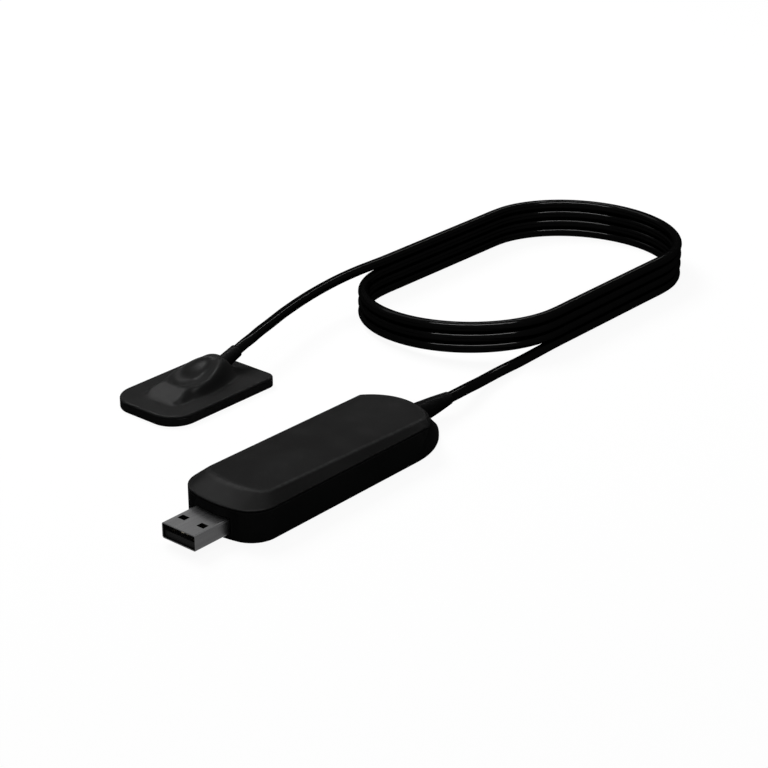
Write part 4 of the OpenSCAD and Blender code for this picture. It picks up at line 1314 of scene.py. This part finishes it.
BOX_ROUTE = [(0, 52.8, 4.7), (0, 56.1, 4.7), (-0.3, 59.5, 4.5), (-1, 64, 4), (-1.9, 68.5, 3.3),
             (-2.8, 74, 2.7), (-3.5, 80, 2.3), (-3.9, 86, 2), (-4.2, 92, 1.7), (-4.4, 98, 1.65),
             (-4.6, 104, 1.65), (-4.8, 111.5, 1.65)]
SENSOR_ROUTE = [(-64.5, 32.05, 8.4), (-64.5, 35.05, 9.4), (-64.7, 38.5, 10.1), (-65.7, 43, 10.6),
                (-66.9, 48, 10.8), (-68.3, 53, 10.9), (-69.8, 58, 10.9), (-71.2, 63, 10.8),
                (-72.5, 68, 10.7), (-73.7, 73, 10.6), (-74.6, 78, 10.6), (-75.2, 83, 10.7),
                (-75.4, 88.5, 11), (-75.3, 94, 11.3), (-74.9, 100, 11.6), (-74.3, 106, 11.8),
                (-74, 111.5, 11.85)]


def coil_point(angle, end, height):
    """Angle 0 is the right side, 180 the left; end is 1 for the far end and -1 for the near one."""
    a = math.radians(angle)
    return Vector((COIL_X + COIL_R * math.cos(a),
                   COIL_Y + end * (COIL_STRAIGHT / 2 + COIL_END * math.sin(a)), height))


def coil_turns():
    """Each turn goes up the right side, round the far end, down the left and round the near end."""
    points = []
    near, far = COIL_Y - COIL_STRAIGHT / 2, COIL_Y + COIL_STRAIGHT / 2
    for turn in range(TURNS):
        z = CABLE_D / 2 + turn * PITCH
        for i in range(RUN_STEPS + (turn > 0)):
            y = near + (far - near) * (i + (turn == 0)) / RUN_STEPS
            points.append(Vector((COIL_X + COIL_R, y, z)))
        points += [coil_point(180 * i / ARC_STEPS, 1, z) for i in range(1, ARC_STEPS + 1)]
        points += [Vector((COIL_X - COIL_R, far + (near - far) * i / RUN_STEPS, z))
                   for i in range(1, RUN_STEPS + (turn < TURNS - 1))]
        if turn < TURNS - 1:
            points += [coil_point(180 - 180 * i / ARC_STEPS, -1, z + PITCH * ease(i / ARC_STEPS))
                       for i in range(1, ARC_STEPS)]
    return points


free_start = [Vector(p) * MM for p in BOX_ROUTE]
free_end = [Vector(p) * MM for p in reversed(SENSOR_ROUTE)]
route = free_start + coil_turns() + free_end
print("route points:", len(route), " in the coil:", len(route) - len(free_start) - len(free_end))

# %% [markdown]
# The given points are joined by a smooth line before the tube is drawn. A Catmull-Rom line
# whose steps follow the distance between the points passes through each of them and doesn't
# overshoot where close points meet distant ones. It is then read off at even steps, so that the
# rings of the jacket are spaced alike on straights and bends.

# %% Smooth line through the route
def smooth_line(points, step):
    ends = [2 * points[0] - points[1]] + list(points) + [2 * points[-1] - points[-2]]
    line = [points[0].copy()]
    for p0, p1, p2, p3 in zip(ends, ends[1:], ends[2:], ends[3:]):
        t1 = max((p1 - p0).length, 1e-9) ** 0.5
        t2 = t1 + (p2 - p1).length ** 0.5
        t3 = t2 + max((p3 - p2).length, 1e-9) ** 0.5
        parts = max(2, math.ceil((p2 - p1).length / step))
        for i in range(1, parts + 1):
            t = t1 + (t2 - t1) * i / parts
            a1 = p0.lerp(p1, t / t1)
            a2 = p1.lerp(p2, (t - t1) / (t2 - t1))
            a3 = p2.lerp(p3, (t - t2) / (t3 - t2))
            b1 = a1.lerp(a2, t / t2)
            b2 = a2.lerp(a3, (t - t1) / (t3 - t1))
            line.append(b1.lerp(b2, (t - t1) / (t2 - t1)))
    return line


cable_line = smooth_line(route, 1.6 * MM)

# %% [markdown]
# Now the jacket. Geometry Nodes sweep a circle along the line, and two captured values are stored
# on the mesh as one vector: the cosine and sine of the angle round the jacket, and the way
# travelled along it in centimetres. A vector like that has no seam, so the jacket's fine lines
# follow the cable round every bend.

# %% The cable's jacket
JACKET_SIDES, JACKET_IN, CENTIMETRES = 20, 0.01 * MM, 100.0


def make_cord_tree():
    tree, given = new_tree("cord_skin", ("Radius", "Float", 0.001), ("Sides", "Int", JACKET_SIDES))
    rail = add(tree, "GeometryNodeMeshToCurve", {"Mesh": given["Geometry"]})
    circle = add(tree, "GeometryNodeCurvePrimitiveCircle", {"Resolution": given["Sides"],
                                                            "Radius": given["Radius"]})
    parameter = add(tree, "GeometryNodeSplineParameter").outputs
    kept = {}
    for source, field, label in ((rail, "Length", "Along"), (circle, "Factor", "Around")):
        keep = add(tree, "GeometryNodeCaptureAttribute")
        keep.capture_items.new("FLOAT", label)
        tree.links.new(source.outputs["Curve"], keep.inputs["Geometry"])
        tree.links.new(parameter[field], keep.inputs[label])
        kept[label] = keep.outputs
    sweep = add(tree, "GeometryNodeCurveToMesh", {"Curve": kept["Along"]["Geometry"],
                                                  "Profile Curve": kept["Around"]["Geometry"],
                                                  "Fill Caps": True})
    angle = math_node(tree, "MULTIPLY", kept["Around"]["Around"], 2 * math.pi)
    vector = add(tree, "ShaderNodeCombineXYZ", {
        "X": math_node(tree, "COSINE", angle), "Y": math_node(tree, "SINE", angle),
        "Z": math_node(tree, "MULTIPLY", kept["Along"]["Along"], CENTIMETRES)})
    store = add(tree, "GeometryNodeStoreNamedAttribute",
                {"Geometry": sweep.outputs["Mesh"], "Name": "jacket", "Value": vector.outputs[0]},
                data_type="FLOAT_VECTOR", domain="POINT")
    end_tree(tree, store.outputs["Geometry"], given)
    return tree


cable = new_piece("cable", cable_line, [], edges=[(i, i + 1) for i in range(len(cable_line) - 1)])
grow(cable, make_cord_tree(), Radius=CABLE_D / 2 - JACKET_IN, Sides=JACKET_SIDES,
     Finish=cable_jacket.material)
face_outwards(cable)
crisp(cable, 60)
place(cable, cable_jacket, "cable_jacket",
      "cable_box_stretch", "cable_coil", "cable_sensor_stretch")
print("jacket attributes:", [a.name for a in cable.data.attributes if not a.name.startswith(".")])

# %% [markdown]
# ## The sensor head
#
# The sensor is a flat plate with two well rounded corners that go into the mouth first, and two
# tight ones at the cable. Its active side lies on the table. On its back stands the piece that
# takes the most skill: a hump that starts as a low pillow, sinks into a scoop for the fingertip,
# and rises to a crest over the boot. It could be sculpted. A few cross sections are more honest:
# each says how wide the foot and the crest are and how high the crest and the floor of the scoop
# lie, and smooth curves run between them.

# %% Sizes of the sensor and its hump
SENSOR_X, SENSOR_Y = -64.5 * MM, 13.65 * MM
SENSOR_L, SENSOR_W, PLATE_H, TRAY_H = 42.6 * MM, 27.2 * MM, 3.3 * MM, 2.4 * MM
FREE_R, CABLE_END_R, TRAY_WALL, SHELL_T = 8 * MM, 3 * MM, 0.9 * MM, 0.8 * MM
HUMP_Y, HUMP_L, HUMP_W, HUMP_H = -15.7 * MM, 33.2 * MM, 17 * MM, 6.1 * MM
HUMP_SINK = 0.03  # share of the height that the foot sinks into the plate, so that no step shows

# Each row: place along the hump, foot and crest as shares of the half width, crest and floor
# heights as shares of the full height
HUMP_ROWS = [
    (0, 0.3, 0.1, -0.03, -0.03), (0.042, 0.62, 0.45, 0.03, 0.03), (0.102, 0.84, 0.7, 0.16, 0.16),
    (0.163, 0.93, 0.68, 0.3, 0.3), (0.21, 0.965, 0.57, 0.42, 0.42), (0.245, 0.98, 0.48, 0.48, 0.47),
    (0.29, 0.99, 0.56, 0.48, 0.34), (0.343, 1, 0.68, 0.5, 0.2), (0.404, 1, 0.75, 0.55, 0.16),
    (0.503, 0.98, 0.75, 0.65, 0.2), (0.584, 0.945, 0.66, 0.79, 0.36),
    (0.645, 0.915, 0.56, 0.89, 0.57), (0.705, 0.875, 0.42, 0.97, 0.84), (0.75, 0.85, 0.3, 1, 0.98),
    (0.795, 0.81, 0.22, 0.93, 0.93), (0.84, 0.77, 0.2, 0.74, 0.74), (0.886, 0.7, 0.18, 0.46, 0.46),
    (0.931, 0.6, 0.16, 0.2, 0.2), (0.97, 0.45, 0.12, 0.05, 0.05), (1, 0.28, 0.06, -0.03, -0.03)]


def along_hump(t, column):
    """Smooth reading of one column of the rows at place t."""
    i = 0
    while i < len(HUMP_ROWS) - 2 and t > HUMP_ROWS[i + 1][0]:
        i += 1

    def slope(j):
        a, b = HUMP_ROWS[max(j - 1, 0)], HUMP_ROWS[min(j + 1, len(HUMP_ROWS) - 1)]
        return (b[column] - a[column]) / (b[0] - a[0])

    a, b = HUMP_ROWS[i], HUMP_ROWS[i + 1]
    w = b[0] - a[0]
    s = (t - a[0]) / w
    return (a[column] * (2 * s ** 3 - 3 * s ** 2 + 1) + b[column] * (3 * s ** 2 - 2 * s ** 3)
            + w * slope(i) * (s ** 3 - 2 * s ** 2 + s) + w * slope(i + 1) * (s ** 3 - s ** 2))


def hump_height(x, y, inset=0.0):
    """Height of the hump over the plate at a point of the sensor's own plan, 0 outside its foot."""
    t = (y - HUMP_Y - inset) / (HUMP_L - 2 * inset)
    if not 0 < t < 1:
        return 0.0
    foot, crest, top, bottom = [along_hump(t, column) for column in (1, 2, 3, 4)]
    share, crest = abs(x) / (foot * HUMP_W / 2 - inset), crest / foot
    if share >= 1:
        return 0.0
    if share < crest:
        height = bottom + (top - bottom) * ease(share / crest)
    else:
        height = (top + HUMP_SINK) * (1 - ease((share - crest) / (1 - crest))) - HUMP_SINK
    return max(0.0, height * HUMP_H - inset)


print("hump is", round(max(hump_height(0.002, HUMP_Y + HUMP_L * k / 200)
                           for k in range(200)) / MM, 2), "mm high")

# %% [markdown]
# The back shell is one sheet of quads. Its rows run across the plate and end on the outline, so
# the round corners stay true, and its columns are a third of a millimetre apart, fine enough for
# the scoop. From the border of that sheet, more rings go round the plate's edge and down to the
# parting line. The same function with an inset makes the inner wall.

# %% Sensor outline as rows
FREE_STEPS, STRAIGHT_STEPS, END_STEPS = 20, 92, 9


def plate_ends(t):
    """Front and rear of the plate's outline drawn in by t, with the corner radius of each."""
    return (-SENSOR_L / 2 + t, SENSOR_L / 2 - t, FREE_R - t, max(CABLE_END_R - t, 0.5 * MM))


def half_width(y, t):
    """Half width of the plate at y, drawn in by t."""
    front, rear, free_r, end_r = plate_ends(t)
    half = SENSOR_W / 2 - t
    if y < front + free_r:
        return half - free_r + math.sqrt(max(free_r ** 2 - (front + free_r - y) ** 2, 0))
    if y > rear - end_r:
        return half - end_r + math.sqrt(max(end_r ** 2 - (y - rear + end_r) ** 2, 0))
    return half


def plate_rows(t):
    """Places of the rows: close together in the round corners and even between them."""
    front, rear, free_r, end_r = plate_ends(t)
    low, high, turn = front + free_r, rear - end_r, math.pi / 2
    rows = [front + free_r * (1 - math.cos(turn * i / FREE_STEPS)) for i in range(FREE_STEPS)]
    rows += [low + (high - low) * i / STRAIGHT_STEPS for i in range(STRAIGHT_STEPS)]
    return rows + [high + end_r * math.sin(turn * i / END_STEPS) for i in range(END_STEPS + 1)]


def outward(x, y):
    """Direction that points straight out of the plate's outline at one of its points."""
    front, rear, free_r, end_r = plate_ends(0)
    s = 1 if x > 0 else -1
    if y < front + free_r:
        return Vector((s * max(abs(x) - SENSOR_W / 2 + free_r, 0), y - front - free_r)).normalized()
    if y > rear - end_r:
        return Vector((s * max(abs(x) - SENSOR_W / 2 + end_r, 0), y - rear + end_r)).normalized()
    return Vector((s, 0))


print("rows across the plate:", len(plate_rows(0)))

# %% Sheets over the plate's plan
def softened(points, wide, passes):
    """Averages each height with its four neighbours, so that ridges and hollows become round."""
    for _ in range(passes):
        z = [p.z for p in points]
        for k in range(wide, len(points) - wide):
            if 0 < k % wide < wide - 1:
                points[k].z = z[k] / 2 + (z[k - 1] + z[k + 1] + z[k - wide] + z[k + wide]) / 8


def plate_sheet(t, columns, height, passes=0):
    """A sheet over the plate's plan drawn in by t, and the numbers of its border going round."""
    rows, wide, points = plate_rows(t), columns + 1, []
    for y in rows:
        half = half_width(y, t)
        for x in (half * (2 * j / columns - 1) for j in range(wide)):
            points.append(Vector((x, y, height(x, y))))
    softened(points, wide, passes)
    last = (len(rows) - 1) * wide
    border = (list(range(columns)) + [i * wide + columns for i in range(len(rows) - 1)]
              + [last + j for j in range(columns, 0, -1)]
              + [i * wide for i in range(len(rows) - 1, 0, -1)])
    return points, grid_faces(len(rows), wide), border


def sewn(points, faces, border, steps):
    """Adds a ring round a sheet for each step, which says how far it stands out of the border
    and at what height, and returns the numbers of the last ring."""
    edge = [(points[index], outward(points[index].x, points[index].y)) for index in border]
    for out, z in steps:
        now = range(len(points), len(points) + len(edge))
        points += [Vector((p.x + way.x * out, p.y + way.y * out, z)) for p, way in edge]
        faces += band(border, now)
        border = now
    return border


def rounded_edge(r, steps, z, up):
    """Steps of rings round a quarter circle of radius r, from z upwards or downwards."""
    angles = [math.radians(90 * i / steps) for i in range(1, steps + 1)]
    return [(r * math.sin(a), z + up * r * (1 - math.cos(a))) for a in angles]


def at_sensor(points):
    return [(p.x + SENSOR_X, p.y + SENSOR_Y, p.z) for p in points]


print("sheet helpers ready")

# %% Back shell of the sensor
BACK_EDGE, BACK_COLUMNS, SOFTENING = 0.65 * MM, 84, 9
LIP_IN, LIP_FOOT, LIP_BREAK = TRAY_WALL + SNUG, TRAY_H + 0.05 * MM, 0.1 * MM
LIP_END = TRAY_H - 0.5 * MM
BOOT_SLOPE = math.atan(1 / 3)
BOOT_L, BOOT_R, BOOT_TIP_R, BOOT_NECK = 7.4 * MM, 2.25 * MM, 2.05 * MM, 2.6 * MM
BOOT_WAY = Vector((0, math.cos(BOOT_SLOPE), math.sin(BOOT_SLOPE)))
BOOT_ROOT = free_end[-1] - BOOT_L * BOOT_WAY
BOOT_BORE = [(2.3 * MM, -4.6 * MM), (2.3 * MM, BOOT_L)]


def make_back_shell():
    points, faces, border = plate_sheet(
        BACK_EDGE, BACK_COLUMNS, lambda x, y: PLATE_H + hump_height(x, y), SOFTENING)
    inner, inner_faces, inner_border = plate_sheet(
        LIP_IN + SHELL_T, BACK_COLUMNS,
        lambda x, y: PLATE_H - SHELL_T + hump_height(x, y, SHELL_T), SOFTENING)
    under = BACK_EDGE - LIP_IN
    rim = sewn(points, faces, border, rounded_edge(BACK_EDGE, 7, PLATE_H, -1) + [
        (BACK_EDGE, LIP_FOOT + LIP_BREAK), (BACK_EDGE - LIP_BREAK, LIP_FOOT),
        (under, LIP_FOOT), (under, LIP_END), (under - SHELL_T, LIP_END),
        (under - SHELL_T, PLATE_H - SHELL_T)])
    start = len(points)
    faces += [tuple(start + v for v in reversed(face)) for face in inner_faces]
    faces += band(rim, [start + v for v in inner_border])
    shell = new_piece("sensor_back", at_sensor(points + inner), faces)
    face_outwards(shell)
    cut_away(shell, [turned(BOOT_BORE, BOOT_ROOT, BOOT_WAY, 64)])
    crisp(shell, 38)
    return shell


place(make_back_shell(), sensor_plastic, "sensor_plastic", "sensor_back_shell")

# %% [markdown]
# The tray under it is a shallow pan with the same outline. It shows only as a narrow band below
# the fine parting line, which runs round the plate.

# %% Tray of the sensor
TRAY_EDGE, TRAY_COLUMNS, TRAY_FLOOR = 0.3 * MM, 24, 0.5 * MM


def make_sensor_tray():
    points, faces, border = plate_sheet(TRAY_EDGE, TRAY_COLUMNS, lambda x, y: 0.0)
    faces = [tuple(reversed(face)) for face in faces]
    rim = sewn(points, faces, border, rounded_edge(TRAY_EDGE, 4, 0, 1) + [
        (TRAY_EDGE, TRAY_FLOOR), (TRAY_EDGE, TRAY_H - 0.12 * MM), (TRAY_EDGE - 0.1 * MM, TRAY_H),
        (TRAY_EDGE - TRAY_WALL, TRAY_H), (TRAY_EDGE - TRAY_WALL, TRAY_FLOOR)])
    return moulded("sensor_tray", (at_sensor(points), faces + [tuple(rim)]), 38)


place(make_sensor_tray(), sensor_plastic, "sensor_plastic", "sensor_front_cover")

# %% [markdown]
# The boot climbs out of the hump one in three. It is turned like the strain relief, with a short
# collar where it meets the shell and a rounded end round the cable.

# %% Boot of the sensor
def make_sensor_boot():
    end = BOOT_L - TIP_SHORT
    profile = [(CABLE_D / 2, -BOOT_NECK), (BOOT_R, -BOOT_NECK), (BOOT_R, 0.4 * MM),
               (BOOT_TIP_R, end), (CABLE_D / 2, end)]
    shape = turned(rounded_profile(profile, 0.3 * MM), BOOT_ROOT, BOOT_WAY)
    return moulded("cable_boot", shape, 40)


place(make_sensor_boot(), boot_rubber, "boot_rubber", "sensor_boot")

# %% [markdown]
# ## Small parts that repeat
#
# Twelve ceramic capacitors stand in two rows beside the processor. One Geometry Nodes tree builds
# a part from a body and two end caps, marks the caps with an attribute, and sets a copy on every
# point of the two rows. The material reads the attribute, so ceramic and tin need only one
# finish.

# %% Board passives
# Each part of a capacitor in mm: size, place, and 1 where it is a tinned cap
CAPACITOR = [((1.6, 0.8, 0.7), (0, 0, 0.35), 0.0), ((0.36, 0.88, 0.74), (0.65, 0, 0.37), 1.0),
             ((0.36, 0.88, 0.74), (-0.65, 0, 0.37), 1.0)]
CAPACITOR_L, CAPACITOR_W = 1.66 * MM, 0.88 * MM


def box_shape(tree, size, place, mark):
    """A box made by nodes, moved to its place, with its mark stored on it."""
    cube = add(tree, "GeometryNodeMeshCube", {"Size": [v * MM for v in size]})
    moved = add(tree, "GeometryNodeTransform", {"Geometry": cube.outputs["Mesh"],
                                                "Translation": [v * MM for v in place]})
    return add(tree, "GeometryNodeStoreNamedAttribute",
               {"Geometry": moved.outputs["Geometry"], "Name": "cap", "Value": mark},
               data_type="FLOAT", domain="POINT").outputs["Geometry"]


def make_passives_tree():
    tree, given = new_tree("chip_rows", ("Rows Apart", "Float", 0.0168), ("Pitch", "Float", 0.002),
                           ("Per Row", "Int", 6), ("Start", "Vector"))
    part, both = add(tree, "GeometryNodeJoinGeometry"), add(tree, "GeometryNodeJoinGeometry")
    for size, place, mark in CAPACITOR:
        tree.links.new(box_shape(tree, size, place, mark), part.inputs[0])
    step = add(tree, "ShaderNodeCombineXYZ", {"Y": given["Pitch"]})
    for side in (-0.5, 0.5):
        aside = math_node(tree, "MULTIPLY", given["Rows Apart"], side)
        first = add(tree, "ShaderNodeCombineXYZ", {"X": aside})
        start = add(tree, "ShaderNodeVectorMath", {0: first.outputs[0], 1: given["Start"]},
                    operation="ADD")
        row = add(tree, "GeometryNodeMeshLine", {"Count": given["Per Row"],
                                                 "Start Location": start.outputs[0],
                                                 "Offset": step.outputs[0]})
        tree.links.new(row.outputs["Mesh"], both.inputs[0])
    copies = add(tree, "GeometryNodeInstanceOnPoints", {"Points": both.outputs[0],
                                                        "Instance": part.outputs[0]})
    end_tree(tree, copies.outputs["Instances"], given)
    return tree


def make_passive_finish():
    f = Finish("ceramic_and_tin", specular=0.4)
    cap = add(f.tree, "ShaderNodeAttribute", attribute_name="cap").outputs["Fac"]
    grain = f.group(moulded_grain, Scale=14000.0)
    f.colour((0.24, 0.17, 0.09), (0.3, 0.22, 0.13), grain["Cloud"], (cap, TIN))
    f.feed("Metallic", cap)
    f.roughness(cap, 0.55, 0.28)
    f.bump(grain["Height"], 0.004 * MM)
    return f


low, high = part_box("board_passives")
row_start = (0, low[1] + CAPACITOR_W / 2, low[2])
passives = new_piece("board_capacitors", [], [])
passive_finish = make_passive_finish()
grow(passives, make_passives_tree(), Finish=passive_finish.material, Start=row_start,
     **{"Rows Apart": high[0] - low[0] - CAPACITOR_L})
place(passives, passive_finish, "parts_mixed", "board_passives")

# %% [markdown]
# Four screws hold the board. One is turned here with a rounded head, a thread of fine ridges and
# a cross cut by a boolean. The tree then sets it on the four places that the posts of the base
# already use.

# %% Board screws
SHANK_R, THREAD_H, THREAD_PITCH = 0.8 * MM, 0.12 * MM, 0.3 * MM
# The rounded head: share of its radius, and height in mm
HEAD = [(1, 0), (1, 0.55), (0.93, 0.8), (0.78, 0.98), (0.5, 1.08)]
CROSS_ARM, CROSS_HALF, CROSS_LOW, CROSS_HIGH = 1 * MM, 0.2 * MM, 0.5 * MM, 1.5 * MM


def make_screw():
    depth = BOARD_HIGH[2] - SCREW_LOW[2]
    profile = [(0.3 * MM, -depth), (0.5 * MM, -depth)]
    z = -depth + 0.25 * MM
    while z < -0.35 * MM:
        profile += [(SHANK_R - THREAD_H, z), (SHANK_R, z + THREAD_PITCH / 3),
                    (SHANK_R - THREAD_H, z + THREAD_PITCH * 2 / 3)]
        z += THREAD_PITCH
    profile += [(SHANK_R, -0.05 * MM), (SHANK_R, 0)]
    profile += [(SCREW_R * share, height * MM) for share, height in HEAD] + [(0.05 * MM, 1.1 * MM)]
    screw = new_piece("screw", *turned(profile, (0, 0, 0), (0, 0, 1), 40))
    face_outwards(screw)
    quarter = [(CROSS_ARM, CROSS_HALF), (CROSS_HALF, CROSS_HALF), (CROSS_HALF, CROSS_ARM)]
    cross = [(a * x, b * y) for x, y in ((1, 1), (-1, 1), (-1, -1), (1, -1))
             for a, b in (quarter if x * y > 0 else quarter[::-1])]
    cut_away(screw, [tube([at_height(cross, z) for z in (CROSS_LOW, CROSS_HIGH)])])
    crisp(screw, 35)
    return screw


def make_copies_tree():
    tree, given = new_tree("set_on_points", ("Shape", "Object"))
    shape = add(tree, "GeometryNodeObjectInfo", {"Object": given["Shape"]})
    copies = add(tree, "GeometryNodeInstanceOnPoints", {"Points": given["Geometry"],
                                                        "Instance": shape.outputs["Geometry"]})
    end_tree(tree, copies.outputs["Instances"], given)
    return tree


screw = make_screw()
screws = new_piece("board_screw_set", [(x, y, BOARD_HIGH[2]) for x, y in SCREW_PLACES], [])
screw_finish = make_sheet_metal("screw_zinc", grey(0.4, 1.03), grey(0.48, 1.02), 0.34)
grow(screws, make_copies_tree(), Shape=screw, Finish=screw_finish.material)
bpy.data.objects.remove(screw)
place(screws, screw_finish, "screw_steel", "board_screws")

# %% [markdown]
# ## Which pieces the sheen lamps reach
#
# Light linking gives a lamp a collection of receivers. Only the black mouldings and the cable are
# in it.

# %% Sheen lamps and their receivers
black_pieces = bpy.data.collections.new("black_pieces")
for name in ("interface_box_base", "interface_box_cover", "strain_relief", "cable", "sensor_back",
             "sensor_tray", "cable_boot", "box_cable_end", "sensor_cable_end"):
    black_pieces.objects.link(bpy.data.objects[name])
for lamp in sheen_lamps:
    lamp.light_linking.receiver_collection = black_pieces
